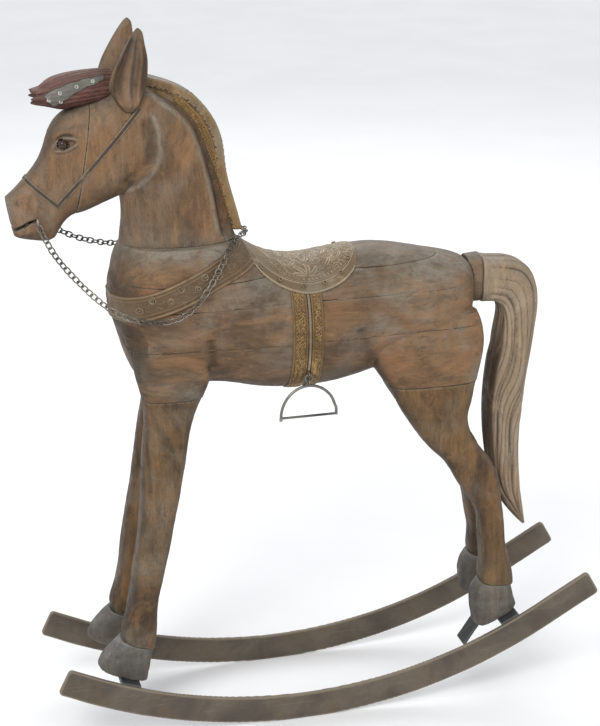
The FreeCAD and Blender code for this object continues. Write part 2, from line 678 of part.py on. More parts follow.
# ---- write every piece ----------------------------------------------------------------
heights = (0.0,) + BOARD_JOINTS + (NECK_JOINT_Z,)
for board, low, high in zip(("belly_board", "middle_board", "upper_board", "back_board"),
                            heights, heights[1:]):
    save(board, torso.common(slab(-400, 400, low, high)))
save("neck_block", neck_block)
save("face_block", face_block)
save("eye_beads", eye_beads)
save("left_ear", ears["left"])
save("right_ear", ears["right"])
save("forelock", forelock)
save("forelock_bands", forelock_bands)
save("forelock_tacks", forelock_tacks)
save("mane", mane)
save("left_mane_strip", mane_strips["left"])
save("right_mane_strip", mane_strips["right"])
save("tail_dock", dock)
save("tail", tail)
for name in legs:
    save(name + "_leg", legs[name])
    save(name + "_hoof", hooves[name])
save("hoof_screws", Part.makeCompound(screws))
for name, group in dowels.items():
    save(name, Part.makeCompound(group))
save("saddle", saddle)
save("saddle_tacks", saddle_tacks)
save("collar", collar)
save("collar_tacks", collar_tacks)
for name, sheet in girths.items():
    save(name, sheet)
save("left_cheek_strip", cheek_strips["left"])
save("right_cheek_strip", cheek_strips["right"])
save("nose_strip", nose_strip)
for side_name, side in SIDES:
    strap, ring_piece, bow = stirrup_set(side)
    save(side_name + "_stirrup_strap", strap)
    save(side_name + "_stirrup_ring", ring_piece)
    save(side_name + "_stirrup", bow)
    save(side_name + "_mouth_ring", mouth_rings[side_name])
save("rein_chain", rein_chain)
save("left_rocker", left_rocker)
save("right_rocker", right_rocker)
save("front_cross_bar", front_cross)
save("rear_cross_bar", rear_cross)
save("tip_stop", tip_stop)
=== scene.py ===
import json
import math

import bpy
import numpy as np
from mathutils import Matrix, Vector
from mathutils.bvhtree import BVHTree


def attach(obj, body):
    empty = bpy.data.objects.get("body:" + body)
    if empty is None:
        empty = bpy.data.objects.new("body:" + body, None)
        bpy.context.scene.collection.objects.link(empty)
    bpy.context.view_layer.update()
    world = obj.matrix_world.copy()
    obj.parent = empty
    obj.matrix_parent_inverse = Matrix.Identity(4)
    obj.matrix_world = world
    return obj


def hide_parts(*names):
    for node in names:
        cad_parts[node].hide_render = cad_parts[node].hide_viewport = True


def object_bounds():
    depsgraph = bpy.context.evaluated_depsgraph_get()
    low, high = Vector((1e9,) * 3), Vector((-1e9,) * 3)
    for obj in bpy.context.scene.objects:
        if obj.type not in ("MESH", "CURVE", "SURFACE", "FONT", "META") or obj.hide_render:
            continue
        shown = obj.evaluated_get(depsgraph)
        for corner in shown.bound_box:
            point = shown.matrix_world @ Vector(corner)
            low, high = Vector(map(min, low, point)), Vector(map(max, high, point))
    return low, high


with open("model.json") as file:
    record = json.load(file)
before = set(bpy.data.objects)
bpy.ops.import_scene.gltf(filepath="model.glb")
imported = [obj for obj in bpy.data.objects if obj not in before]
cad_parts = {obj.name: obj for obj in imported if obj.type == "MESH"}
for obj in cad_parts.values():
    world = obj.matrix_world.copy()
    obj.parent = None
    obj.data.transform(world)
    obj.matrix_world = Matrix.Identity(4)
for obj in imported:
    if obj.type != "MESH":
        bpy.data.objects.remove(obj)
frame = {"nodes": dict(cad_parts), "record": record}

# The carved rocking horse. Lengths in the tables below are millimetres, measured along X
# from the line where the rockers rest on the floor; at() turns them into the frame's metres.
CAD_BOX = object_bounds()
MM = 0.001
REST = frame["record"]["mounts"][0]["pos_m"][0]
NODES = frame["nodes"]
SIDES = (("left", -1), ("right", 1))


def at(x, y, z):
    return Vector((x * MM + REST, y * MM, z * MM))


# ---- camera, light and floor -------------------------------------------------
CAMERA_TURN = math.radians(15.0)
CAMERA_TILT = math.radians(20.3)
CAMERA_PLACE = (-634.0, -2424.3, 1443.7)
CAMERA_LENS = 94.2
CAMERA_SENSOR = 36.0
FAR_CLIP = 50.0
LAMP_AIM = Vector((0.0, 0.0, 0.5))
# Place and width of each lamp in metres, and its power in watts.
LAMPS = {"key": ((-1.7, -2.2, 2.8), 1.7, 56.0), "fill": ((2.6, -2.0, 1.2), 2.2, 12.0),
         "back": ((0.6, 2.6, 2.4), 2.0, 26.0)}
SKY_COLOUR = (0.95, 0.97, 1.0, 1.0)
SKY_STRENGTH = 0.90
FLOOR_REACH = 40.0


def new_object(name, data):
    obj = bpy.data.objects.new(name, data)
    bpy.context.scene.collection.objects.link(obj)
    return obj


def make_camera():
    data = bpy.data.cameras.new("camera")
    data.sensor_width = CAMERA_SENSOR
    data.lens = CAMERA_LENS
    data.clip_end = FAR_CLIP
    back = Vector((-math.sin(CAMERA_TURN) * math.cos(CAMERA_TILT),
                   -math.cos(CAMERA_TURN) * math.cos(CAMERA_TILT), math.sin(CAMERA_TILT)))
    right = Vector((math.cos(CAMERA_TURN), -math.sin(CAMERA_TURN), 0.0))
    turn = Matrix((right, back.cross(right), back)).transposed().to_4x4()
    camera = new_object("camera", data)
    camera.matrix_world = Matrix.Translation(at(*CAMERA_PLACE)) @ turn
    bpy.context.scene.camera = camera


def make_lights():
    for name, (place, width, power) in LAMPS.items():
        data = bpy.data.lights.new(name, "AREA")
        data.shape = "DISK"
        data.size = width
        data.energy = power
        lamp = new_object(name, data)
        lamp.location = place
        lamp.rotation_euler = (LAMP_AIM - lamp.location).to_track_quat("-Z", "Y").to_euler()
    world = bpy.data.worlds.new("studio")
    world.use_nodes = True
    background = world.node_tree.nodes["Background"].inputs
    background["Color"].default_value = SKY_COLOUR
    background["Strength"].default_value = SKY_STRENGTH
    bpy.context.scene.world = world
    bpy.context.scene.view_settings.view_transform = "Standard"


# ---- material graphs ---------------------------------------------------------
def rgb(red, green, blue):
    """A colour written as screen values, 0 to 255, as the shaders need it."""
    levels = []
    for value in (red, green, blue):
        share = value / 255.0
        levels.append(share / 12.92 if share <= 0.04045 else ((share + 0.055) / 1.055) ** 2.4)
    return (*levels, 1.0)


class Graph:
    """A material's nodes, written one call to a node."""

    def __init__(self, name):
        self.material = bpy.data.materials.new(name)
        self.material.use_nodes = True
        self.tree = self.material.node_tree
        self.tree.nodes.clear()
        self.place = self.add("TexCoord").outputs["Object"]

    def add(self, kind, inputs=(), **settings):
        node = self.tree.nodes.new("ShaderNode" + kind)
        for key, value in settings.items():
            setattr(node, key, value)
        for key, value in dict(inputs).items():
            if isinstance(value, bpy.types.NodeSocket):
                self.tree.links.new(value, node.inputs[key])
            else:
                node.inputs[key].default_value = value
        return node

    def stretch(self, scale):
        return self.add("Mapping", {"Vector": self.place, "Scale": scale}).outputs[0]

    def noise(self, scale, detail=4.0, rough=0.55, vector=None, twist=0.0):
        inputs = {"Vector": vector or self.place, "Scale": scale, "Detail": detail,
                  "Roughness": rough, "Distortion": twist}
        return self.add("TexNoise", inputs).outputs["Fac"]

    def spots(self, scale):
        return self.add("TexVoronoi", {"Vector": self.place, "Scale": scale}).outputs["Distance"]

    def fit(self, value, low, high, to_low=0.0, to_high=1.0):
        inputs = {"Value": value, "From Min": low, "From Max": high,
                  "To Min": to_low, "To Max": to_high}
        return self.add("MapRange", inputs, interpolation_type="SMOOTHSTEP").outputs[0]

    def maths(self, operation, first, second, clamp=False):
        return self.add("Math", {0: first, 1: second}, operation=operation, use_clamp=clamp).outputs[0]

    def times(self, first, second, clamp=False):
        return self.maths("MULTIPLY", first, second, clamp)

    def plus(self, first, second, clamp=False):
        return self.maths("ADD", first, second, clamp)

    def mix(self, share, first, second):
        return self.add("Mix", {0: share, 6: first, 7: second}, data_type="RGBA").outputs[2]

    def layers(self, colour, *covers):
        """Lay colours over one another, each by its share."""
        for share, cover in covers:
            colour = self.mix(share, colour, cover)
        return colour

    def painted(self, name):
        return self.add("Attribute", attribute_name=name).outputs["Fac"]

    def hollow_and_edge(self, reach=0.03):
        bend = self.add("NewGeometry").outputs["Pointiness"]
        hollow = self.fit(bend, 0.5 - reach, 0.495, 1.0, 0.0)
        edge = self.fit(bend, 0.505, 0.5 + reach)
        return hollow, edge

    def normal(self, axis):
        return self.add("SeparateXYZ", {0: self.add("NewGeometry").outputs["Normal"]}).outputs[axis]

    def upward(self):
        return self.fit(self.normal(2), 0.25, 0.95)

    def turned(self):
        """How far a surface turns away from the horse's flat sides."""
        return self.fit(self.maths("ABSOLUTE", self.normal(1), 0.0), 0.35, 0.93, 1.0, 0.0)

    def downward(self):
        return self.fit(self.normal(2), -0.85, 0.1, 1.0, 0.0)

    def finish(self, colour, roughness, height, bump_mm, metallic=0.0, specular=0.4, coat=0.0):
        bump = self.add("Bump", {"Height": height, "Distance": bump_mm * MM})
        inputs = {"Base Color": colour, "Roughness": roughness, "Normal": bump.outputs[0],
                  "Metallic": metallic, "Specular IOR Level": specular, "Coat Weight": coat}
        shader = self.add("BsdfPrincipled", inputs)
        self.add("OutputMaterial", {"Surface": shader.outputs[0]})
        return self.material


GRAIN = {"x": (0.07, 1.0, 1.0), "z": (1.0, 1.0, 0.07)}
SHORT_GRAIN = {"x": (0.45, 1.0, 1.0), "z": (1.0, 1.0, 0.45)}
CHIPPED_WOOD = rgb(176, 158, 134)
SCRATCHED_STEEL = rgb(150, 142, 130)


def tint(colour, factor):
    return tuple(min(1.0, level * factor) for level in colour[:3]) + (1.0,)


def wood(name, grain, colours, wash=0.5, red_share=0.5, smoke=0.55, edges=0.2, hollow_shade=0.7):
    """Stained carved wood with smoky patches, under a worn grey wash; with painted shade on turned and
    downward faces and in hollows, and a painted highlight on edges.
    """
    g = Graph(name)
    brown, dark, grey, red = (rgb(*colour) for colour in colours)
    along = g.stretch(GRAIN[grain])
    drawn = g.stretch(SHORT_GRAIN[grain])
    fibre = g.noise(460.0, 5.0, 0.7, along, 0.4)
    streak = g.noise(70.0, 4.0, 0.6, along, 1.6)
    patch = g.noise(9.0, 5.0, 0.6, twist=0.8)
    mottle = g.noise(60.0, 6.0, 0.7, twist=0.6)
    speck = g.noise(520.0, 6.0, 0.8)
    hollow, edge = g.hollow_and_edge()
    ruddy = g.fit(g.noise(15.0, 5.0, 0.6, drawn, 1.0), 0.48, 0.68, 0.0, red_share)
    sooty = g.fit(g.noise(8.0, 6.0, 0.60, drawn, 1.5), 0.44, 0.66, 0.0, smoke)
    # turned: share of painted shade on faces turned away from the flat sides
    turned = g.times(g.turned(), g.fit(mottle, 0.25, 0.6, 0.5, 1.0))
    cover = g.plus(g.fit(patch, 0.44, 0.68), g.times(g.upward(), 0.9))
    cover = g.times(g.plus(cover, g.painted("wash")), g.fit(mottle, 0.30, 0.62, 0.35, 1.0))
    grime = g.fit(g.noise(95.0, 8.0, 0.82, drawn, 0.4), 0.47, 0.68, 0.0, 0.55)
    rubbed = g.fit(g.noise(26.0, 7.0, 0.72, drawn, 0.9), 0.50, 0.72, 0.0, 0.5)
    chips = g.times(g.fit(g.spots(120.0), 0.04, 0.09, 1.0, 0.0), g.fit(g.noise(23.0), 0.58, 0.66))
    colour = g.layers(
        dark,
        (g.fit(streak, 0.34, 0.70, 0.60, 1.0), brown),
        (ruddy, red),
        (sooty, dark),
        # painted shade on faces turned away from the flat sides
        (g.times(turned, 0.78), tint(dark, 0.9)),
        (g.times(cover, wash, clamp=True), grey),
        # painted shade on the faces that look down
        (g.times(g.downward(), 0.7), tint(dark, 0.5)),
        # painted highlight on the convex edges, found by pointiness
        (g.times(edge, edges), tint(grey, 1.5)),
        # painted shade in the concave hollows, found by pointiness
        (g.times(hollow, hollow_shade), tint(dark, 0.35)),
        # the points' dark paint: mostly painted shade in cuts, hollows and recesses, with darkening
        # towards the hooves and on the tail's front
        (g.painted("dark"), tint(dark, 0.28)),
        (g.fit(fibre, 0.30, 0.60, 0.20, 0.0), tint(dark, 0.8)),
        (grime, tint(dark, 0.7)),
        (rubbed, tint(brown, 1.38)),
        (g.fit(speck, 0.50, 0.68, 0.0, 0.35), tint(dark, 0.75)),
        (g.fit(speck, 0.32, 0.44, 0.22, 0.0), tint(brown, 1.6)),
        (g.times(chips, 0.6), CHIPPED_WOOD))
    height = g.plus(g.times(fibre, 0.55), g.times(streak, 0.7))
    height = g.plus(height, g.times(mottle, 0.5))
    height = g.maths("SUBTRACT", height, g.times(chips, 0.8))
    return g.finish(colour, g.fit(mottle, 0.3, 0.7, 0.44, 0.70), height, 0.6, specular=0.26)


def steel(name, colours, rough_low, rough_high, metallic, bump_mm):
    g = Graph(name)
    base, dark, rust = (rgb(*colour) for colour in colours)
    patch = g.noise(11.0, 5.0, 0.6, twist=0.7)
    fine = g.noise(150.0, 5.0, 0.7)
    grit = g.noise(900.0, 3.0, 0.6)
    edge = g.hollow_and_edge()[1]
    scratches = g.fit(g.noise(60.0, 2.0, 0.5, g.stretch((0.25, 1.0, 6.0))), 0.66, 0.70)
    colour = g.layers(
        dark,
        (g.fit(patch, 0.35, 0.66), base),
        (g.fit(g.noise(19.0, 5.0, 0.65), 0.50, 0.70, 0.0, 0.5), rust),
        (g.fit(fine, 0.35, 0.65, 0.35, 0.0), dark),
        (g.times(edge, 0.5), tint(base, 1.9)),
        (g.times(scratches, 0.12), SCRATCHED_STEEL))
    rough = g.fit(fine, 0.3, 0.7, rough_low, rough_high)
    return g.finish(colour, rough, g.plus(fine, g.times(grit, 0.3)), bump_mm, metallic, 0.45)


def brass(name, colours, metallic):
    """Thin embossed sheet: bright on the high places, browned in the hollows."""
    g = Graph(name)
    high, low, green = (rgb(*colour) for colour in colours)
    patch = g.noise(16.0, 5.0, 0.6, twist=0.8)
    fine = g.noise(240.0, 5.0, 0.7)
    hollow, edge = g.hollow_and_edge(0.05)
    lift = g.plus(g.times(g.painted("raised"), 0.7), g.times(edge, 0.5), clamp=True)
    lift = g.times(lift, g.fit(fine, 0.25, 0.6, 0.5, 1.0))
    colour = g.layers(
        low,
        (lift, high),
        (g.fit(patch, 0.48, 0.70, 0.0, 0.6), green),
        (g.fit(g.noise(27.0, 6.0, 0.7, twist=0.9), 0.50, 0.68, 0.0, 0.6), tint(low, 0.85)),
        (g.fit(g.noise(38.0, 6.0, 0.7, twist=0.5), 0.55, 0.70, 0.0, 0.5), tint(high, 1.25)),
        (g.times(hollow, 0.8), tint(low, 0.35)))
    return g.finish(colour, g.fit(fine, 0.3, 0.7, 0.38, 0.62), fine, 0.35, metallic)


def floor_material():
    g = Graph("pale_floor")
    tone = g.fit(g.noise(3.0, 3.0), 0.3, 0.7)
    colour = g.mix(tone, (0.93, 0.93, 0.93, 1.0), (0.90, 0.90, 0.90, 1.0))
    return g.finish(colour, g.fit(g.noise(40.0), 0.3, 0.7, 0.75, 0.9), g.noise(300.0), 0.05, specular=0.1)


def bead_material():
    g = Graph("eye_bead")
    colour = g.mix(g.noise(200.0), rgb(30, 18, 12), rgb(66, 40, 24))
    return g.finish(colour, g.fit(g.noise(500.0), 0.3, 0.7, 0.16, 0.3), g.noise(300.0), 0.02,
                    specular=0.35, coat=0.1)


STAIN = ((132, 99, 67), (66, 54, 41), (128, 120, 107), (138, 94, 64))

# Each look of wood: its grain, its brown, dark, grey wash and ruddy colours, and its own shares.
WOODS = {
    "aged_wood": ("z", STAIN, {}),
    "board_wood": ("x", STAIN, dict(wash=0.72, red_share=0.4, smoke=0.85, edges=0.0, hollow_shade=0.0)),
    "leg_wood": ("z", ((120, 91, 58), (54, 42, 30), (124, 114, 98), (118, 80, 46)),
                 dict(wash=0.6, red_share=0.35, smoke=0.95)),
    "grey_hoof_wood": ("z", ((104, 97, 88), (66, 62, 58), (124, 121, 116), (96, 80, 62)),
                       dict(wash=0.8, red_share=0.4)),
    "red_stained_wood": ("x", ((124, 84, 74), (84, 50, 42), (140, 126, 118), (112, 58, 46)),
                         dict(wash=0.35, red_share=0.9)),
    "mane_wood": ("z", ((138, 111, 74), (90, 70, 45), (136, 128, 114), (132, 96, 54)),
                  dict(wash=0.75)),
    "tail_wood": ("z", ((154, 134, 108), (112, 94, 74), (158, 150, 138), (146, 114, 82)),
                  dict(smoke=0.4)),
    "dowel_wood": ("z", ((190, 156, 112), (156, 120, 82), (188, 172, 144), (180, 132, 84)),
                   dict(wash=0.2, smoke=0.3)),
}
# Each look of brass: its high, low and tarnished colours, and how metallic it is.
BRASSES = {
    "embossed_brass": (((166, 150, 124), (116, 98, 76), (134, 126, 112)), 0.55),
    "collar_brass": (((138, 116, 88), (96, 78, 58), (118, 104, 86)), 0.55),
    "girth_brass": (((178, 144, 94), (88, 68, 42), (116, 96, 66)), 0.55),
    "gold_strip": (((158, 124, 76), (92, 68, 38), (112, 92, 60)), 0.55),
    "grey_brass_band": (((140, 136, 128), (98, 94, 86), (116, 116, 106)), 0.2),
    "stud": (((214, 212, 206), (62, 54, 46), (190, 186, 176)), 0.5),
    "saddle_stud": (((158, 144, 118), (66, 54, 40), (120, 106, 84)), 0.7),
    "strap_brass": (((158, 146, 124), (110, 97, 77), (120, 110, 94)), 0.5),
    "bridle_strip": (((136, 120, 98), (60, 48, 37), (74, 64, 52)), 0.1),
}
# Each look of steel: its bare, dark and rusty colours, least and most roughness, how metallic
# it is, and the depth of its pitting in millimetres.
STEELS = {
    "chain_steel": (((148, 142, 132), (84, 80, 73), (98, 86, 70)), 0.28, 0.45, 0.85, 0.08),
    "stirrup_steel": (((126, 123, 117), (74, 72, 69), (112, 102, 90)), 0.3, 0.45, 0.85, 0.06),
    "rocker_steel": (((106, 96, 82), (76, 69, 60), (106, 84, 60)), 0.40, 0.60, 0.25, 0.25),
    "bar_steel": (((84, 88, 88), (60, 62, 62), (80, 72, 62)), 0.35, 0.55, 0.4, 0.25),
    "screw_steel": (((150, 148, 142), (100, 98, 94), (110, 98, 84)), 0.3, 0.45, 0.85, 0.06),
}

MATERIALS = {"eye_bead": bead_material()}
for look, (grain, colours, shares) in WOODS.items():
    MATERIALS[look] = wood(look, grain, colours, **shares)
for look, row in BRASSES.items():
    MATERIALS[look] = brass(look, *row)
for look, row in STEELS.items():
    MATERIALS[look] = steel(look, *row)


def dress(obj, look):
    """Give an object one material."""
    obj.data.materials.clear()
    obj.data.materials.append(MATERIALS[look])


def stand_in(obj, look, node):
    """Dress an object and put it in the place of a CAD node of the horse's own body."""
    dress(obj, look)
    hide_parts(node)
    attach(obj, "horse")


# ---- meshes --------------------------------------------------------------------
def smooth_object(name, points, faces):
    """A smooth-shaded object from points in the frame's metres."""
    mesh = bpy.data.meshes.new(name)
    mesh.from_pydata(points, [], faces)
    mesh.shade_smooth()
    return new_object(name, mesh)


def paint_points(obj, key, values):
    """Lay a value from 0 to 1 on each point, for the material graphs to read."""
    layer = obj.data.attributes.new(key, "FLOAT", "POINT")
    layer.data.foreach_set("value", np.clip(values, 0.0, 1.0).astype(np.float32))


def mesh_of(name, points, faces):
    """A smooth-shaded object from points in millimetres."""
    placed = np.array(points, float) * MM
    placed[:, 0] += REST
    obj = smooth_object(name, placed.tolist(), faces)
    obj.data.validate()
    return obj


def grid_faces(rows, columns, wrap_rows=False, wrap_columns=False, start=0, flip=False):
    faces = []
    for r in range(rows if wrap_rows else rows - 1):
        for c in range(columns if wrap_columns else columns - 1):
            corners = [r * columns + c, r * columns + (c + 1) % columns,
                       (r + 1) % rows * columns + (c + 1) % columns, (r + 1) % rows * columns + c]
            corners = [start + corner for corner in corners]
            faces.append(corners[::-1] if flip else corners)
    return faces


def shell(name, outer, inner):
    """A closed sheet between two grids of points of the same size."""
    rows, columns = outer.shape[:2]
    count = rows * columns
    points = np.concatenate([outer.reshape(-1, 3), inner.reshape(-1, 3)])
    faces = grid_faces(rows, columns) + grid_faces(rows, columns, start=count, flip=True)
    rim = [(0, c) for c in range(columns)]
    rim += [(r, columns - 1) for r in range(1, rows)]
    rim += [(rows - 1, c) for c in range(columns - 2, -1, -1)]
    rim += [(r, 0) for r in range(rows - 2, 0, -1)]
    for (r0, c0), (r1, c1) in zip(rim, rim[1:] + rim[:1]):
        first, second = r0 * columns + c0, r1 * columns + c1
        faces.append([second, first, first + count, second + count])
    return mesh_of(name, points, faces)


def evaluated_mesh(obj):
    """An object's mesh with its modifiers applied; the object itself goes."""
    evaluated = obj.evaluated_get(bpy.context.evaluated_depsgraph_get())
    mesh = bpy.data.meshes.new_from_object(evaluated)
    bpy.data.objects.remove(obj)
    return mesh


def travel_along(points):
    """Distance travelled at each of a row of points."""
    return np.concatenate([[0.0], np.cumsum(np.linalg.norm(np.diff(points, axis=0), axis=1))])


def smooth_line(points, count):
    """Evenly spaced points on a smooth run through a few points."""
    knots = np.array(points, float)
    knots = np.vstack([2 * knots[0] - knots[1], knots, 2 * knots[-1] - knots[-2]])
    dense = []
    for p0, p1, p2, p3 in zip(knots, knots[1:], knots[2:], knots[3:]):
        for share in np.linspace(0.0, 1.0, 24, endpoint=False):
            dense.append(0.5 * (2 * p1 + (p2 - p0) * share
                                + (2 * p0 - 5 * p1 + 4 * p2 - p3) * share ** 2
                                + (3 * p1 - p0 - 3 * p2 + p3) * share ** 3))
    dense.append(knots[-2])
    dense = np.array(dense)
    travel = travel_along(dense)
    wanted = np.linspace(0.0, travel[-1], count)
    return np.stack([np.interp(wanted, travel, dense[:, k]) for k in range(dense.shape[1])], 1)


def side_distance(points, line):
    """Signed distance in the side view from a line, and how far along it, 0 to 1."""
    flat = points[:, [0, 2]]
    best = np.full(len(flat), 1e9)
    signed = np.zeros(len(flat))
    along = np.zeros(len(flat))
    pieces = len(line) - 1
    for number in range(pieces):
        start, step = line[number], line[number + 1] - line[number]
        offset = flat - start
        share = np.clip(offset @ step / (step @ step), 0.0, 1.0)
        gap = np.linalg.norm(offset - share[:, None] * step, axis=1)
        closer = gap < best
        turn = np.sign(step[0] * offset[:, 1] - step[1] * offset[:, 0])
        signed = np.where(closer, gap * turn, signed)
        along = np.where(closer, (number + share) / pieces, along)
        best = np.minimum(best, gap)
    return signed, along


def bell(distance, width):
    return np.exp(-(distance / width) ** 2)


def ramp(value, low, high):
    share = np.clip((value - low) / (high - low), 0.0, 1.0)
    return share * share * (3.0 - 2.0 * share)


def gap_to(points, line):
    """Distance in the side view from a smooth line through a few points."""
    return np.abs(side_distance(points, smooth_line(line, 60))[0])


def away_from(points, x, z):
    """Distance in the side view from a place."""
    return np.hypot(points[:, 0] - x, points[:, 2] - z)


def sideways(normals, low, high):
    """Share of each point that faces left or right."""
    return ramp(np.abs(normals[:, 1]), low, high)


def sculpt(name, node, look, voxel, rounds, shapers):
    """Carve a CAD node anew: an even mesh, softened, then shaped by a list of functions.

    A shaper gets the points and normals, in millimetres, and a dictionary for what it
    paints on the points, and returns how far it moves each point.
    """
    source = new_object("part", NODES[node].data.copy())
    remesh = source.modifiers.new("even", "REMESH")
    remesh.mode = "VOXEL"
    remesh.voxel_size = voxel * MM
    if rounds:
        soften = source.modifiers.new("soften", "SMOOTH")
        soften.factor = 0.5
        soften.iterations = rounds
    mesh = evaluated_mesh(source)
    paint = {}
    for shaper in shapers:
        points = np.empty(len(mesh.vertices) * 3, np.float64)
        mesh.vertices.foreach_get("co", points)
        points = points.reshape(-1, 3) / MM
        points[:, 0] -= REST / MM
        normals = np.array([tuple(n.vector) for n in mesh.vertex_normals])
        moved = points + shaper(points, normals, paint)
        moved[:, 0] += REST / MM
        mesh.vertices.foreach_set("co", (moved * MM).ravel())
        mesh.update()
    mesh.shade_smooth()
    mesh.name = name
    obj = new_object(name, mesh)
    for key, values in paint.items():
        paint_points(obj, key, values)
    stand_in(obj, look, node)


def painted(paint, key, values):
    """Paint over what earlier shapers painted, where it is stronger."""
    paint[key] = np.maximum(paint[key], values) if key in paint else values


def groove(line, width, depth, dark=0.0, taper=0.12, wash=0.0):
    """Cut, or with a negative depth raise, a line of the side view on both sides."""
    route = smooth_line(line, 40)

    def shaper(points, normals, paint):
        distance, along = side_distance(points, route)
        facing = sideways(normals, 0.15, 0.45)
        ends = ramp(along, 0.0, taper) * ramp(1.0 - along, 0.0, taper) if taper else 1.0
        share = bell(distance, width) * facing * ends
        # the dark share is painted shade along the cut
        if dark:
            painted(paint, "dark", share * dark)
        if wash:
            painted(paint, "wash", share * wash)
        return -normals * (share * depth)[:, None]

    return shaper


# ---- rein chain ----------------------------------------------------------------
# From the left mouth ring along the left side, over the withers and back to the right ring.
CHAIN_ROUTE = [
    (-346, -33, 752), (-339, -37, 734), (-327, -44, 711), (-309, -54, 688),
    (-287, -65, 664), (-261, -76, 641), (-231, -84, 627), (-200, -89, 622),
    (-170, -91, 628), (-147, -92, 646), (-129, -88, 669), (-114, -79, 691),
    (-98, -64, 710), (-81, -40, 720), (-63, -14, 718), (-63, 14, 718),
    (-80, 40, 721), (-100, 62, 715), (-125, 75, 706), (-153, 81, 698),
    (-182, 80, 692), (-210, 72, 690), (-237, 58, 694), (-263, 47, 702),
    (-289, 41, 712), (-312, 37, 725), (-331, 35, 738), (-346, 33, 752),
]
CHAIN_WIDTH = 9.0
CHAIN_WIRE = 2.0
LINK_LENGTH = 12.2
LINK_STEPS = 28
WIRE_STEPS = 8
LINK_LEAN = math.radians(27.0)
# In metres: how far ahead and behind a link its direction is read, and how far a link that
# lies on the body leans upwards.
TANGENT_REACH = 0.003
UPWARD_LEAN = 0.012


def curve_points(route):
    """Points of a smooth curve steered by the route, in the frame's metres."""
    data = bpy.data.curves.new("rein_line", "CURVE")
    data.dimensions = "3D"
    spline = data.splines.new("NURBS")
    spline.points.add(len(route) - 1)
    for point, place in zip(spline.points, route):
        point.co = (*at(*place), 1.0)
    spline.order_u = 3
    spline.use_endpoint_u = True
    spline.resolution_u = 16
    line = evaluated_mesh(new_object("rein_line", data))
    return np.array([tuple(vertex.co) for vertex in line.vertices])


def make_chain():
    path = curve_points(CHAIN_ROUTE)
    travel = travel_along(path)
    length = travel[-1]
    count = round(length / ((LINK_LENGTH - 2.0 * CHAIN_WIRE) * MM))
    half_long = (LINK_LENGTH - CHAIN_WIRE) / 2.0 * MM
    half_wide = (CHAIN_WIDTH - CHAIN_WIRE) / 2.0 * MM
    points, faces = [], []
    for number in range(count):
        where = (number + 0.5) * length / count
        centre, ahead, behind = [Vector([np.interp(where + shift, travel, path[:, k]) for k in range(3)])
                                 for shift in (0.0, TANGENT_REACH, -TANGENT_REACH)]
        tangent = (ahead - behind).normalized()
        outward = Vector((0.0, centre.y, UPWARD_LEAN))
        outward = (outward - tangent * outward.dot(tangent)).normalized()
        across = tangent.cross(outward)
        roll = (LINK_LEAN if number % 2 else -LINK_LEAN) + 0.18 * math.sin(number * 1.9)
        wide = across * math.cos(roll) + outward * math.sin(roll)
        thick = tangent.cross(wide)
        faces += grid_faces(LINK_STEPS, WIRE_STEPS, True, True, len(points))
        for step in range(LINK_STEPS):
            angle = 2.0 * math.pi * step / LINK_STEPS
            cosine, sine = math.cos(angle), math.sin(angle)
            along = math.copysign(abs(cosine) ** 0.8, cosine) * half_long
            aside = math.copysign(abs(sine) ** 0.8, sine) * half_wide
            out = (tangent * cosine * half_wide + wide * sine * half_long).normalized()
            for turn in range(WIRE_STEPS):
                spin = 2.0 * math.pi * turn / WIRE_STEPS
                wire = (out * math.cos(spin) + thick * math.sin(spin)) * (CHAIN_WIRE / 2.0 * MM)
                points.append(tuple(centre + tangent * along + wide * aside + wire))
    obj = smooth_object("rein_chain_links", points, faces)
    stand_in(obj, "chain_steel", "rein_chain")


# ---- carving -------------------------------------------------------------------
def ripple(points, size, seed):
    """Gentle unevenness of hand carving, about -1 to 1."""
    p = points / size
    first = np.sin(p @ (1.0, 0.7, 0.4) + seed) * np.cos(p @ (-0.8, 1.6, 1.3) + 2.0 * seed)
    second = np.sin(p @ (2.3, -1.9, 1.7) + 3.0 * seed) * np.cos(p @ (1.7, 2.6, -2.2) + seed)
    return 0.65 * first + 0.35 * second


def uneven(size, depth, seed):
    """A surface that wanders in and out."""
    def shaper(points, normals, paint):
        return normals * (ripple(points, size, seed) * depth)[:, None]
    return shaper


def facets(size, depth, seed):
    """Shallow scoops left by a gouge."""
    def shaper(points, normals, paint):
        share = np.abs(ripple(points, size, seed)) ** 0.5
        return -normals * ((1.0 - share) * depth)[:, None]
    return shaper


def dimple(x, z, radius, depth, dark):
    """A round hollow on both sides, with painted shade at the bottom."""
    def shaper(points, normals, paint):
        share = bell(away_from(points, x, z), radius) * sideways(normals, 0.1, 0.4)
        painted(paint, "dark", share * dark)
        return -normals * (share * depth)[:, None]
    return shaper


CHEEK = [(-194, 898), (-184, 862), (-187, 827), (-207, 801), (-233, 783)]
CHEEK_HOLLOW = [(-205, 890), (-196, 860), (-199, 832), (-215, 810), (-236, 794)]
UPPER_LID = [(-324, 848), (-317, 858), (-306, 864), (-295, 864), (-288, 860)]
LOWER_LID = [(-324, 848), (-314, 848), (-303, 850), (-294, 855), (-288, 860)]
BROW = [(-324, 862), (-310, 872), (-294, 873), (-282, 866)]
MOUTH = [(-344, 757), (-355, 755), (-366, 749), (-384, 741)]
LOWER_LIP = [(-350, 744), (-362, 739), (-378, 735)]
NECK_BORDER = [(-193, 926), (-146, 886), (-128, 855), (-115, 810), (-107, 769), (-100, 722)]

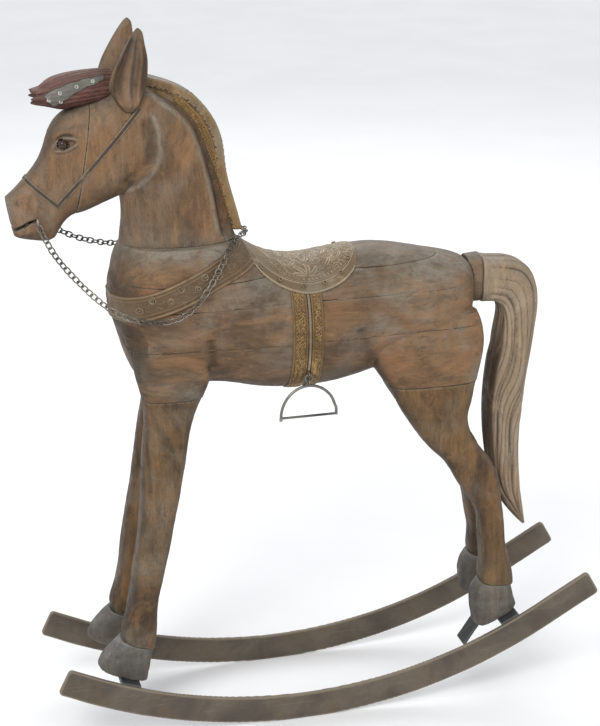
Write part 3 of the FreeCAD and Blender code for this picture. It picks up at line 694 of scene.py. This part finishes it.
HEAD_SHAPERS = [
    # The dark shares here are painted shade: the cheek hollow, the eye socket and its middle, the line
    # under the brow, the mouth cut and the nostril.
    groove(CHEEK_HOLLOW, 8.0, 3.0, 0.42),
    groove(CHEEK, 4.6, -2.8, wash=1.2),
    dimple(-306, 856, 15.0, 3.2, 0.12),
    groove(BROW, 5.0, -1.6),
    groove([(-321, 861), (-308, 868), (-293, 868)], 2.4, 0.8, 0.6, 0.25),
    groove(UPPER_LID, 2.3, -2.6, 0.0, 0.2, 1.4),
    groove(LOWER_LID, 2.0, -2.0, 0.0, 0.2, 1.4),
    dimple(-306, 856, 5.4, 0.4, 0.75),
    groove(MOUTH, 1.7, 2.4, 0.9, 0.05),
    groove(LOWER_LIP, 4.0, -1.0),
    dimple(-373, 780, 5.0, 1.4, 0.15),
    groove([(-379, 786), (-371, 785), (-365, 778)], 2.6, -1.0),
    uneven(36.0, 0.7, 1.3),
    facets(13.0, 0.35, 0.6),
]


def neck_back(points, normals, paint):
    """The border ridge beside the mane, and the neck falling away behind it."""
    distance, along = side_distance(points, smooth_line(NECK_BORDER, 60))
    facing = sideways(normals, 0.2, 0.5)
    inside = ramp(points[:, 2], 712.0, 735.0)
    ridge = bell(distance + 9.0, 4.2) * 2.2 - bell(distance + 17.0, 4.5) * 1.5 * ramp(along, 0.3, 0.6)
    fall = ramp(distance, -5.0, 2.0)
    # painted shade on the neck where it falls away behind the border ridge
    painted(paint, "dark", fall * 0.7 * inside)
    painted(paint, "wash", bell(distance + 8.0, 3.6) * 1.1)
    move = normals * (ridge * facing * inside)[:, None]
    move[:, 1] -= np.sign(points[:, 1]) * np.maximum(np.abs(points[:, 1]) - 15.0, 0.0) * fall * inside
    return move


def muzzle_wash(points, normals, paint):
    """Paler worn patches on the nose and along the lower lip."""
    painted(paint, "wash", bell(away_from(points, -368.0, 768.0), 30.0) * 0.7)
    lip = np.hypot(points[:, 0] + 362.0, (points[:, 2] - 745.0) * 1.6)
    painted(paint, "wash", bell(lip, 12.0) * 0.6)
    return 0.0


def body_tone(points, normals, paint):
    """Painted shade on the front-facing chest, and paler wear round the foot of the neck."""
    chest = ramp(-normals[:, 0], 0.35, 0.85) * (1.0 - ramp(points[:, 2], 640.0, 690.0))
    painted(paint, "dark", chest * 0.62)
    painted(paint, "wash", bell(points[:, 2] - 712.0, 20.0) * 0.7 * ramp(-points[:, 0], 60.0, 110.0))
    return 0.0


TAIL_FRONT = [(277, 588), (296, 587), (308, 578), (310, 560), (306, 533), (300, 495), (295, 443),
              (296, 390), (303, 335), (317, 285), (336, 254), (362, 225)]
TAIL_BACK = [(277, 657), (308, 651), (342, 640), (361, 611), (364, 566), (357, 505), (350, 447),
             (346, 390), (347, 333), (353, 284), (359, 256), (366, 228)]
MANE_CREST = [(-198, 936), (-165, 926), (-134, 909), (-110, 881), (-96, 847), (-91, 806), (-82, 768),
              (-70, 722)]


def tail_strands(points, normals, paint):
    """Long flowing locks round the tail, and its plain dark front."""
    to_front, along = side_distance(points, smooth_line(TAIL_FRONT, 90))
    to_back = side_distance(points, smooth_line(TAIL_BACK, 90))[0]
    across = np.abs(to_front) / (np.abs(to_front) + np.abs(to_back) + 0.01)
    turn = np.arctan2(np.abs(points[:, 1]), (across - 0.42) * 52.0)
    flow = turn * 7.0 + 1.6 * np.sin(along * 7.0) + 0.8 * np.sin(along * 17.0 + turn * 2.0)
    broad = np.abs(np.sin(flow * 0.5 + np.sign(points[:, 1]) * 0.4))
    fine = np.abs(np.sin(flow * 1.5 + 1.0 + 3.0 * np.sin(along * 5.0)))
    flat = ramp(-normals[:, 0], 0.45, 0.8) * ramp(along, 0.2, 0.3)
    depth = (3.0 * (1.0 - np.sqrt(broad)) + 1.7 * (1.0 - np.sqrt(fine))) * (1.0 - flat)
    tip = ramp(along, 0.0, 0.06) * (1.0 - 0.6 * ramp(along, 0.85, 1.0))
    # dark paint: the plain front face, and painted shade in the hollows between the locks
    painted(paint, "dark", np.maximum(flat * 0.85, (1.0 - np.sqrt(broad)) * 0.5 * tip))
    return -normals * (depth * tip)[:, None]


def mane_strokes(points, normals, paint):
    """A rounded crest along the mane's outer edge, its inner side cut in slanted strokes."""
    distance, along = side_distance(points, smooth_line(MANE_CREST, 90))
    depth = np.abs(distance)
    stroke = along * 84.0 + depth * 0.22
    number = np.floor(stroke)
    saw = stroke - number
    reach = 10.0 + 1.3 * saw + 1.0 * np.sin(number * 2.4) + 0.7 * np.sin(number * 5.1)
    flare = 1.0 - ramp(depth, reach - 1.4, reach + 1.0)
    facing = sideways(normals, 0.15, 0.5)
    strength = (0.35 + 0.35 * np.sin(number * 3.7) ** 2) * ramp(depth, 2.0, 8.0)
    cut = np.maximum(bell(saw, 0.11), bell(saw - 1.0, 0.11)) * strength
    # dark paint: painted shade in the stroke cuts, and a painted shadow just past the crest's edge
    painted(paint, "dark", cut * flare * 0.4)
    painted(paint, "dark", bell(depth - reach - 1.6, 1.8) * 0.4)
    return normals * ((flare * 1.9 * facing) - cut * flare * 1.1)[:, None]


def loft(name, rings, far_depth=0.0):
    """A closed skin through a stack of rings, each end closed to a point on its middle.

    The last ring's point lies far_depth millimetres inside.
    """
    rows, columns = rings.shape[:2]
    points = rings.reshape(-1, 3).tolist()
    faces = grid_faces(rows, columns, wrap_columns=True)
    for row, neighbour, depth in ((0, 1, 0.0), (rows - 1, rows - 2, far_depth)):
        inward = rings[neighbour].mean(axis=0) - rings[row].mean(axis=0)
        inward /= np.linalg.norm(inward)
        points.append((rings[row].mean(axis=0) + inward * depth).tolist())
        for column in range(columns):
            corners = [row * columns + (column + 1) % columns, row * columns + column, len(points) - 1]
            faces.append(corners if row == 0 else corners[::-1])
    return mesh_of(name, points, faces)


# Front and rear of each slice in the side view, its half thickness and shift outwards.
EAR = [
    (-229, 897, -217, 895, 5, 0), (-238, 908, -208, 904, 9, 0), (-247, 927, -200, 924, 11, 1),
    (-243, 946, -197, 943, 11, 1), (-233, 966, -196, 964, 9, 0), (-222, 985, -199, 984, 6, -2),
    (-213, 998, -201, 997, 3.6, -4), (-208, 1003, -205, 1002.6, 1.2, -4.6),
]
EAR_Y = 33.0
RIGHT_EAR_SHIFT = (-4.0, 4.0)


def make_ear(side, sign):
    """A cupped leaf: rounded behind, hollow outside with a slanted ridge in the hollow."""
    rows, half = 90, 40
    table = smooth_line(EAR, rows)
    lean = RIGHT_EAR_SHIFT if side == "right" else (0.0, 0.0)
    across = np.cos(np.linspace(math.pi, 0.0, half))
    rings, dark, wash = [], [], []
    for number, (x0, z0, x1, z1, thick, shift) in enumerate(table):
        climb = number / (rows - 1)
        depth = ramp(climb, 0.08, 0.34) * (1.0 - ramp(climb, 0.80, 0.93))
        slant = 0.30 - 0.38 * climb
        edge = (1.0 - np.abs(across) ** 5) ** 0.5
        bowl = (1.0 - ramp(np.abs(across), 0.60, 0.92)) * depth
        ridge = bell(across - slant, 0.27) * bowl
        outer = thick * edge * 0.95 - bowl * thick * 1.1 + ridge * thick * 0.55
        inner = -thick * (1.0 - across ** 2) ** 0.5
        swing = np.concatenate([across, across[::-1]])
        lift = np.concatenate([outer, inner[::-1]]) + shift + 0.15 * np.sin(swing * 5.0 + climb * 9.0)
        ring = np.stack([(x0 + x1) / 2.0 + swing * (x1 - x0) / 2.0 + lean[0],
                         sign * (EAR_Y + lift),
                         (z0 + z1) / 2.0 + swing * (z1 - z0) / 2.0 + lean[1]], 1)
        rings.append(ring[::sign])
        # well: painted shadow in the ear's hollow, beside the ridge and inside the rim
        well = (bell(across + 0.52, 0.30) * 0.7 + bell(across - 0.74, 0.12) * 0.5) * bowl
        well = np.concatenate([well, np.zeros(half)])
        dark += well[::sign].tolist()
        pale = np.concatenate([ridge + (bell(across + 0.95, 0.1) + bell(across - 0.95, 0.1)) * 0.3,
                               np.zeros(half)])
        wash += pale[::sign].tolist()
    obj = loft(side + "_ear_carved", np.array(rings))
    paint_points(obj, "dark", dark + [0.0, 0.0])
    paint_points(obj, "wash", wash + [0.0, 0.0])
    stand_in(obj, "aged_wood", side + "_ear")


# Along the forelock: x, top, bottom and half width.
FORELOCK = [
    (-234, 947, 906, 10), (-250, 948.5, 905, 17), (-266, 948, 902, 22), (-280, 947, 900, 25),
    (-292, 945.5, 899, 27), (-306, 943, 898, 27.5), (-320, 938, 901, 25), (-333, 931, 904, 20),
    (-343, 925, 907, 14),
]
FORELOCK_TIPS = (924.0, 915.0, 906.0)


def make_forelock():
    """A visor of locks swept forward, with torn tips along its front."""
    rows, columns = 110, 144
    table = smooth_line(FORELOCK, rows)
    angles = np.linspace(0.0, 2.0 * math.pi, columns, endpoint=False)
    rings, dark = [], []
    for number, (x, top, bottom, wide) in enumerate(table):
        run = number / (rows - 1)
        upness = np.sin(angles)
        aside = np.copysign(np.abs(np.cos(angles)) ** 0.85, np.cos(angles))
        phase = angles * 11.0 + 1.3 * np.sin(run * 4.0) + 0.7 * np.sin(angles * 3.0 + run * 6.0)
        broad = np.sqrt(np.abs(np.sin(phase)))
        fine = np.sqrt(np.abs(np.sin(phase * 2.6 + 1.0 + run * 3.0)))
        relief = 1.0 - (1.7 * (1.0 - broad) + 0.6 * (1.0 - fine)) / wide * ramp(run, 0.0, 0.1)
        z = (top + bottom) / 2.0 + (top - bottom) / 2.0 * upness * relief
        nearest = np.min([np.abs(z - tip) for tip in FORELOCK_TIPS], axis=0)
        shove = ramp(run, 0.72, 1.0) * (7.0 * ramp(nearest, 0.5, 4.0) - 2.5)
        rings.append(np.stack([x + shove, aside * wide * relief, z], 1))
        # dark paint: painted shade in the grooves between the locks and on the underside
        dark += ((1.0 - broad) * 0.55 + ramp(-upness, 0.1, 0.7) * 0.35).tolist()
    obj = loft("forelock_carved", np.array(rings), 10.0)
    # the sunken point at the front tip is painted dark as shade
    paint_points(obj, "dark", dark + [0.2, 0.9])
    stand_in(obj, "red_stained_wood", "forelock")
    return obj


BAND_UPPER = [(-249, 942), (-266, 941), (-293, 936), (-316, 929), (-331, 921)]
BAND_LOWER = [(-251, 936), (-264, 932), (-284, 926), (-303, 915), (-318, 905)]
BAND_STUDS = [(-310, 924), (-288, 931), (-266, 936), (-309, 913), (-324, 915)]


def make_forelock_band(forelock):
    """The grey band lies along both sides of the forelock, pinned with ringed studs."""
    tree = BVHTree.FromObject(forelock, bpy.context.evaluated_depsgraph_get())
    rows, columns = 80, 24
    upper, lower = smooth_line(BAND_UPPER, rows), smooth_line(BAND_LOWER, rows)
    pieces, spots = [], []
    for side, sign in SIDES:
        y = np.zeros((rows, columns))
        flat = np.zeros((rows, columns, 2))
        for row in range(rows):
            for column in range(columns):
                share = column / (columns - 1)
                x, z = upper[row] * (1.0 - share) + lower[row] * share
                z += 0.5 * math.sin(row * 0.31) + 0.3 * math.sin(row * 0.93 + column)
                hit = tree.ray_cast(at(x, sign * 90.0, z), Vector((0.0, -sign, 0.0)))[0]
                flat[row, column] = x, z
                y[row, column] = abs(hit.y) / MM if hit else 8.0
        for _ in range(3):
            padded = np.pad(y, 1, mode="edge")
            around = padded[:-2, 1:-1] + padded[2:, 1:-1] + padded[1:-1, :-2] + padded[1:-1, 2:]
            y = (around + 2.0 * y) / 6.0
        wear = ripple(np.dstack([flat, y]).reshape(-1, 3), 6.0, 0.4).reshape(rows, columns) * 0.35
        outer = np.dstack([flat[:, :, 0], sign * (y + 1.7 + wear), flat[:, :, 1]])
        inner = np.dstack([flat[:, :, 0], sign * (y - 0.6), flat[:, :, 1]])
        pieces.append(shell(side + "_band", *((outer, inner) if sign < 0 else (inner, outer))))
        for x, z in BAND_STUDS:
            away = np.hypot(flat[:, :, 0] - x, flat[:, :, 1] - z)
            row, column = np.unravel_index(np.argmin(away), y.shape)
            spots.append((at(x, sign * (y[row, column] + 1.6), z),
                          Vector((0.0, sign, 0.25)).normalized()))
    with bpy.context.temp_override(active_object=pieces[0], selected_editable_objects=pieces):
        bpy.ops.object.join()
    stand_in(pieces[0], "grey_brass_band", "forelock_bands")
    place_studs("forelock_studs", "forelock_tacks", spots, "stud", 0.8)


def hoof_rings(points, normals, paint):
    """Shallow growth rings round a hoof."""
    level = np.abs(np.sin(points[:, 2] / 5.0 + 0.6 * np.sin(points[:, 1] / 13.0)))
    depth = 0.5 * (1.0 - np.sqrt(level)) + 0.5 * (ripple(points, 14.0, 2.2) + 1.0)
    return -normals * depth[:, None]


def leg_tone(points, normals, paint):
    """Darker towards the hooves, most on the rear legs."""
    low = 1.0 - ramp(points[:, 2], 180.0, 420.0)
    rear = ramp(points[:, 0], 100.0, 200.0)
    painted(paint, "dark", low * (0.10 + 0.20 * rear))
    painted(paint, "wash", ramp(ripple(points, 30.0, 0.2), 0.1, 0.5) * 0.4)
    return 0.0


LEG_CREASE = [(-222, 470), (-219, 430), (-217, 395), (-216, 360)]
CANNON_CREASE = [(-206, 330), (-214, 280), (-226, 220), (-234, 170)]
SHOULDER = [(-130, 592), (-126, 566), (-124, 540)]
FLANK = [(80, 590), (88, 566), (98, 540), (104, 524)]
CHEST = [(-232, 580), (-214, 545), (-196, 522)]
HOCK = [(262, 350), (266, 318), (274, 290)]
GASKIN = [(176, 470), (196, 430), (224, 396), (248, 372)]
CHEST_WIDTHS = (38.0, 46.0, 57.0, 74.0)
CHEST_FRONTS = (-262.0, -239.0, -226.0, -208.0)


def swell(points, normals, paint):
    """Lift the boards' top and bottom faces, which closes the glue lines."""
    return normals * (0.45 * ramp(np.abs(normals[:, 2]), 0.5, 0.9))[:, None]


def tuck(points, normals, paint):
    """Round the top of each shoulder into the chest."""
    front = np.interp(np.abs(points[:, 1]), CHEST_WIDTHS, CHEST_FRONTS)
    share = ramp(points[:, 2], 538.0, 582.0) * (1.0 - ramp(points[:, 2], 592.0, 612.0))
    move = normals * 0.0
    move[:, 0] = np.maximum(front - points[:, 0], 0.0) * share
    return move


# The grooves' dark shares in these lists are painted shade in the creases.
TORSO_SHAPERS = [
    swell,
    tuck,
    body_tone,
    groove(SHOULDER, 6.0, 3.4, 0.5),
    groove(FLANK, 7.0, 3.2, 0.35),
    groove(CHEST, 9.0, 1.8, 0.2),
    uneven(60.0, 1.1, 0.9),
    facets(21.0, 0.45, 1.7),
]
FRONT_LEG_SHAPERS = [
    leg_tone,
    groove(SHOULDER, 6.0, 3.4, 0.5),
    groove(LEG_CREASE, 4.0, 2.0, 0.45),
    groove(CANNON_CREASE, 8.0, 1.4),
    uneven(38.0, 1.0, 2.6),
    facets(15.0, 0.5, 0.4),
]
REAR_LEG_SHAPERS = [
    leg_tone,
    groove(FLANK, 7.0, 3.2, 0.35),
    groove(GASKIN, 10.0, 2.0),
    groove(HOCK, 6.0, 1.6),
    uneven(38.0, 1.0, 3.4),
    facets(15.0, 0.5, 2.4),
]


def make_wood():
    for node in ("back_board", "upper_board", "middle_board", "belly_board"):
        sculpt(node + "_carved", node, "board_wood", 1.5, 1, TORSO_SHAPERS)
    sculpt("tail_dock_carved", "tail_dock", "board_wood", 1.6, 4, [uneven(20.0, 0.6, 0.3)])
    sculpt("neck_carved", "neck_block", "aged_wood", 1.5, 3, [neck_back, body_tone, *HEAD_SHAPERS])
    sculpt("face_carved", "face_block", "aged_wood", 1.1, 3, [muzzle_wash, *HEAD_SHAPERS])
    sculpt("mane_carved", "mane", "mane_wood", 0.9, 2, [mane_strokes])
    sculpt("tail_carved", "tail", "tail_wood", 1.4, 3, [tail_strands])
    for side, sign in SIDES:
        make_ear(side, sign)
        for end, shapers in (("front", FRONT_LEG_SHAPERS), ("rear", REAR_LEG_SHAPERS)):
            leg = f"{side}_{end}_leg"
            sculpt(leg + "_carved", leg, "leg_wood", 1.6, 2, shapers)
        for hoof in (side + "_front_hoof", side + "_rear_hoof"):
            sculpt(hoof + "_carved", hoof, "grey_hoof_wood", 1.4, 4, [hoof_rings])


# ---- sheet metal, straps and studs -----------------------------------------------
BARREL_Z = 590.0
SADDLE_CENTRE = (12.0, 0.0, BARREL_Z)
SADDLE_HALF_WIDTH = 80.0
SADDLE_RADIUS = 92.0
COLLAR_CENTRE = (-150.0, 0.0, 640.0)


def outward_share(points, normals, centre):
    """Share of each point that faces away from a centre, so a sheet's outer face."""
    away = points - np.array(centre)
    away /= np.linalg.norm(away, axis=1)[:, None]
    return ramp((normals * away).sum(axis=1), 0.25, 0.55)


def emboss(normals, paint, height, share, depth=1.0):
    """Raise a relief where share allows it, and paint its high places."""
    raised = np.clip(height, 0.0, 1.0) * share
    painted(paint, "raised", raised)
    return normals * (raised * depth)[:, None]


def leaf(u, v, x, y, angle, length, width):
    """Height of one embossed leaf with its vein, 0 to 1."""
    cosine, sine = math.cos(math.radians(angle)), math.sin(math.radians(angle))
    along = ((u - x) * cosine + (v - y) * sine) / length
    aside = (-(u - x) * sine + (v - y) * cosine) / width
    aside = aside + 0.35 * np.sin(np.clip(along, 0.0, 1.0) * math.pi)
    room = np.sqrt(np.clip(along * (1.0 - along) * 4.0, 0.0, 1.0))
    body = ramp(room * 0.55 - np.abs(aside), 0.0, 0.22) * (along > 0.0) * (along < 1.0)
    return body * (1.0 - 0.7 * bell(aside, 0.09))


def curl(u, v, x, y, radius, spin):
    """Height of an embossed scroll."""
    du, dv = u - x, (v - y) * spin
    away = np.hypot(du, dv)
    turn = np.arctan2(dv, du) / (2.0 * math.pi)
    lane = away / radius * 2.2 - turn
    lane = lane - np.floor(lane)
    return bell(lane - 0.5, 0.26) * (1.0 - ramp(away, radius * 0.85, radius))


def foliage(points, size, seed, line=0.15):
    """Dense small winding relief, as punched work shows it."""
    wander = points + 0.35 * size * np.sin(points[:, [2, 0, 1]] / size * 1.7 + seed)
    return bell(ripple(wander, size, seed), line)


SADDLE_EDGE = [(-70, 716), (-66, 696), (-58, 678), (-42, 661), (-18, 647), (10, 640),
               (36, 643), (58, 651), (74, 662), (84, 674), (90, 684), (94, 700)]
# Each leaf: its foot along X and up the sheet, its direction in degrees, length and width.
SADDLE_LEAVES = [(12, 34, 90, 26, 9), (12, 34, 45, 24, 9), (12, 34, 135, 24, 9), (12, 34, 0, 22, 8),
                 (12, 34, 180, 22, 8), (12, 62, 70, 20, 8), (12, 62, 110, 20, 8), (38, 44, 60, 22, 8),
                 (-16, 44, 120, 22, 8), (44, 30, 20, 18, 7), (-22, 30, 160, 18, 7), (12, 84, 90, 26, 10),
                 (40, 74, 70, 22, 8), (-16, 74, 110, 22, 8), (58, 52, 60, 18, 7), (-36, 54, 120, 18, 7)]
# Each scroll: its middle along X and up the sheet, its radius, and which way it winds.
SADDLE_CURLS = [(34, 28, 8, 1), (-10, 28, 8, -1), (56, 38, 7, 1), (-34, 40, 7, -1), (30, 62, 8, -1),
                (-6, 62, 8, 1), (62, 74, 8, 1), (-40, 78, 8, -1), (34, 96, 8, 1), (-10, 96, 8, -1),
                (66, 98, 7, -1), (-46, 100, 7, 1)]


def saddle_relief(points, normals, paint):
    """Border lines and chevrons, with leaves and scrolls inside them."""
    edge = smooth_line(SADDLE_EDGE, 80)
    rise = np.interp(points[:, 0], edge[:, 0], edge[:, 1])
    in_side = side_distance(points, edge)[0]
    turn = np.arctan2(np.abs(points[:, 1]), points[:, 2] - BARREL_Z)
    edge_turn = np.arctan2(SADDLE_HALF_WIDTH, rise - BARREL_Z)
    climb = (edge_turn - turn) * SADDLE_RADIUS
    from_edge = np.minimum(np.abs(in_side) + 0.35 * np.maximum(climb - 14.0, 0.0), climb + 40.0)
    u, v = points[:, 0], climb
    height = bell(from_edge - 2.0, 1.3) + 0.9 * bell(from_edge - 14.5, 1.1)
    height += 0.6 * bell(from_edge - 17.5, 0.7)
    chevron = np.abs(((points[:, 0] + climb * 0.6) / 6.0) % 1.0 - 0.5) * 2.0
    height += 0.6 * ramp(chevron, 0.55, 0.8) * bell(from_edge - 22.5, 2.6)
    inside = ramp(from_edge, 24.0, 27.0)
    for x, y, angle, length, width in SADDLE_LEAVES:
        height = np.maximum(height, leaf(u, v, x, y, angle, length, width) * inside)
    for x, y, radius, spin in SADDLE_CURLS:
        height = np.maximum(height, 0.8 * curl(u, v, x, y, radius, spin) * inside)
    height = np.maximum(height, 0.55 * foliage(points, 3.4, 1.1) * ramp(from_edge, 17.0, 21.0))
    return emboss(normals, paint, height, outward_share(points, normals, SADDLE_CENTRE))


COLLAR_UPPER = [(-280, 648), (-251, 648), (-209, 659), (-156, 680), (-112, 700), (-60, 722)]
COLLAR_LOWER = [(-280, 610), (-252, 611), (-226, 617), (-194, 627), (-156, 641), (-116, 661),
                (-72, 678), (-40, 690)]
STAMPS = [(-206, 650), (-168, 664), (-135, 678), (-145, 663), (-182, 649), (-222, 634), (-116, 678)]


def collar_relief(points, normals, paint):
    """Lines along both edges, with foliage and ringed stamps between them."""
    to_upper, to_lower = gap_to(points, COLLAR_UPPER), gap_to(points, COLLAR_LOWER)
    height = bell(to_upper - 2.4, 1.2) + bell(to_lower - 2.4, 1.2)
    height += 0.6 * bell(to_lower - 8.0, 0.8) + 0.5 * bell(to_upper - 7.0, 0.8)
    between = ramp(np.minimum(to_upper, to_lower), 9.0, 11.0)
    height = np.maximum(height, between * 0.5 * foliage(points, 4.2, 2.3, 0.12))
    for x, z in STAMPS:
        away = away_from(points, x, z)
        height = np.where(away < 6.0, 0.9 * bell(away - 4.2, 0.9) + 0.8 * bell(away, 1.4), height)
    return emboss(normals, paint, height, outward_share(points, normals, COLLAR_CENTRE))


# Each row of the girths' ringed stamps: its place across, in half widths, and its start along.
GIRTH_STAMPS = ((0.25, 0.0), (-0.3, 11.0), (0.1, 21.0))
STAMP_STEP = 34.0


def girth_relief(low, high):
    """Woven ground, foliage and ringed stamps on a girth strip that lies from low to high along X."""
    middle, half = (low + high) / 2.0, (high - low) / 2.0

    def shaper(points, normals, paint):
        aside = points[:, 0] - middle
        height = 0.35 * bell(np.abs(aside) - half + 1.6, 0.8)
        weave = (np.sin(points[:, 2] / 0.95 + np.sin(points[:, 0]))
                 * np.sin(aside / 0.8 + np.sin(points[:, 2] / 3.0)))
        inner = 1.0 - ramp(np.abs(aside), half - 4.0, half - 3.0)
        for x, z in GIRTH_STAMPS:
            away = np.hypot(aside - x * half, (points[:, 2] - z) % STAMP_STEP - STAMP_STEP / 2.0)
            height += 0.8 * bell(away - 1.9, 0.6)
        height = np.maximum(height, inner * 0.35 * np.maximum(weave, 0.0))
        height = np.maximum(height, inner * 0.9 * foliage(points, 2.3, 0.7, 0.2))
        share = outward_share(points, normals, (middle, 0.0, BARREL_Z))
        return emboss(normals, paint, height, share, 0.6)

    return shaper


MANE_STRIP_OUTER = [(-164, 917), (-141, 899), (-120, 873), (-107, 843), (-100, 805),
                    (-91, 768), (-82, 736)]
MANE_STRIP_INNER = [(-156, 893), (-139, 873), (-126, 843), (-116, 805), (-107, 769), (-98, 736)]


def mane_strip_relief(points, normals, paint):
    """A line along both edges, with foliage between them."""
    height = bell(gap_to(points, MANE_STRIP_OUTER) - 1.4, 0.8)
    height += bell(gap_to(points, MANE_STRIP_INNER) - 1.4, 0.8)
    height = np.maximum(height, 0.9 * foliage(points, 2.0, 1.9, 0.22))
    return emboss(normals, paint, height, sideways(normals, 0.4, 0.7), 0.5)


BRIDLE_LINES = [((-201, 907), (-319, 776)), ((-317, 773), (-366, 817))]


def bridle_relief(points, normals, paint):
    """Rolled pale edges on the bridle's strips."""
    gaps = [np.abs(side_distance(points, np.array(line, float))[0]) for line in BRIDLE_LINES]
    return emboss(normals, paint, bell(np.min(gaps, axis=0) - 2.6, 0.7), 1.0, 0.25)


def loose_parts(mesh):
    """The points of each separate piece of a mesh, in metres."""
    root = list(range(len(mesh.vertices)))

    def find(index):
        while root[index] != index:
            root[index] = root[root[index]]
            index = root[index]
        return index

    for edge in mesh.edges:
        first, second = (find(v) for v in edge.vertices)
        root[first] = second
    groups = {}
    for vertex in mesh.vertices:
        groups.setdefault(find(vertex.index), []).append(tuple(vertex.co))
    return [np.array(group) for group in groups.values()]


# Radius, height and brightness round a stud: a ring about a low dark boss.
STUD_PROFILE = [(2.9, -0.5, 0.3), (3.0, 0.5, 0.7), (2.7, 1.0, 1.0), (2.2, 1.0, 1.0), (1.7, 0.45, 0.1),
                (1.3, 0.35, 0.0), (1.0, 0.6, 0.2), (0.5, 0.8, 0.3)]


STUD_SIDES = 24


def place_studs(name, node, spots, look, size=1.0):
    """Ringed studs at each place, standing along its direction, in place of a CAD node."""
    points, faces, bright = [], [], []
    rows = len(STUD_PROFILE)
    for base, axis in spots:
        across = axis.orthogonal().normalized()
        aside = axis.cross(across)
        start = len(points)
        for radius, height, level in STUD_PROFILE:
            for step in range(STUD_SIDES):
                angle = 2.0 * math.pi * step / STUD_SIDES
                spoke = across * math.cos(angle) + aside * math.sin(angle)
                points.append(tuple(base + (spoke * radius + axis * height) * (size * MM)))
                bright.append(level)
        faces += grid_faces(rows, STUD_SIDES, wrap_columns=True, start=start)
        faces.append(list(range(start, start + STUD_SIDES))[::-1])
        faces.append(list(range(start + (rows - 1) * STUD_SIDES, start + rows * STUD_SIDES)))
    obj = smooth_object(name, points, faces)
    paint_points(obj, "raised", bright)
    stand_in(obj, look, node)


def make_studs(node, centre_z):
    """Ringed studs where the CAD node has its tacks, facing away from the barrel's middle."""
    spots = []
    for group in loose_parts(NODES[node].data):
        middle = group.mean(axis=0)
        axis = Vector(np.linalg.svd(group - middle, full_matrices=False)[2][2])
        if axis.dot(Vector(middle) - Vector((middle[0], 0.0, centre_z * MM))) < 0.0:
            axis = -axis
        low = float(((group - middle) @ np.array(axis)).min())
        spots.append((Vector(middle) + axis * (low + 0.4 * MM), axis))
    place_studs(node + "_ringed", node, spots, "saddle_stud")


def make_sheets():
    sculpt("saddle_embossed", "saddle", "embossed_brass", 0.75, 1, [saddle_relief])
    sculpt("collar_embossed", "collar", "collar_brass", 0.7, 1, [collar_relief])
    sculpt("front_girth_embossed", "front_girth", "girth_brass", 0.6, 1, [girth_relief(-16.0, 5.0)])
    sculpt("rear_girth_embossed", "rear_girth", "girth_brass", 0.6, 1, [girth_relief(11.0, 27.0)])
    for node in ("left_mane_strip", "right_mane_strip"):
        sculpt(node + "_embossed", node, "gold_strip", 0.5, 1, [mane_strip_relief])
    for node in ("left_cheek_strip", "right_cheek_strip", "nose_strip"):
        sculpt(node + "_rolled", node, "bridle_strip", 0.45, 0, [bridle_relief])
    make_forelock_band(make_forelock())
    make_studs("saddle_tacks", BARREL_Z)
    make_studs("collar_tacks", COLLAR_CENTRE[2])


# ---- steel and small pieces --------------------------------------------------------
# CAD nodes that show as they are, by look.
KEPT = {
    "chain_steel": ["left_mouth_ring", "right_mouth_ring"],
    "stirrup_steel": ["left_stirrup", "right_stirrup", "left_stirrup_ring", "right_stirrup_ring"],
    "strap_brass": ["left_stirrup_strap", "right_stirrup_strap"],
    "dowel_wood": ["neck_dowels", "leg_dowels", "hoof_dowels", "ear_pegs", "tail_dowel"],
    "screw_steel": ["hoof_screws"],
    "eye_bead": ["eye_beads"],
}


def make_steel():
    for node in ("left_rocker", "right_rocker"):
        sculpt(node + "_worn", node, "rocker_steel", 1.5, 1, [uneven(24.0, 0.22, 0.5)])
    for node in ("front_cross_bar", "rear_cross_bar", "tip_stop"):
        sculpt(node + "_worn", node, "bar_steel", 1.0, 1, [uneven(20.0, 0.2, 1.5)])


def make_kept():
    for look, nodes in KEPT.items():
        for node in nodes:
            dress(NODES[node], look)
            NODES[node].data.shade_smooth()


def make_floor():
    lowest = CAD_BOX[0][2]
    corners = [(-1, -1), (1, -1), (1, 1), (-1, 1)]
    mesh = bpy.data.meshes.new("floor")
    mesh.from_pydata([(x * FLOOR_REACH, y * FLOOR_REACH, lowest) for x, y in corners], [], [[0, 1, 2, 3]])
    mesh.materials.append(floor_material())
    new_object("floor", mesh)


make_camera()
make_lights()
make_floor()
make_chain()
make_wood()
make_sheets()
make_steel()
make_kept()

bpy.context.view_layer.update()
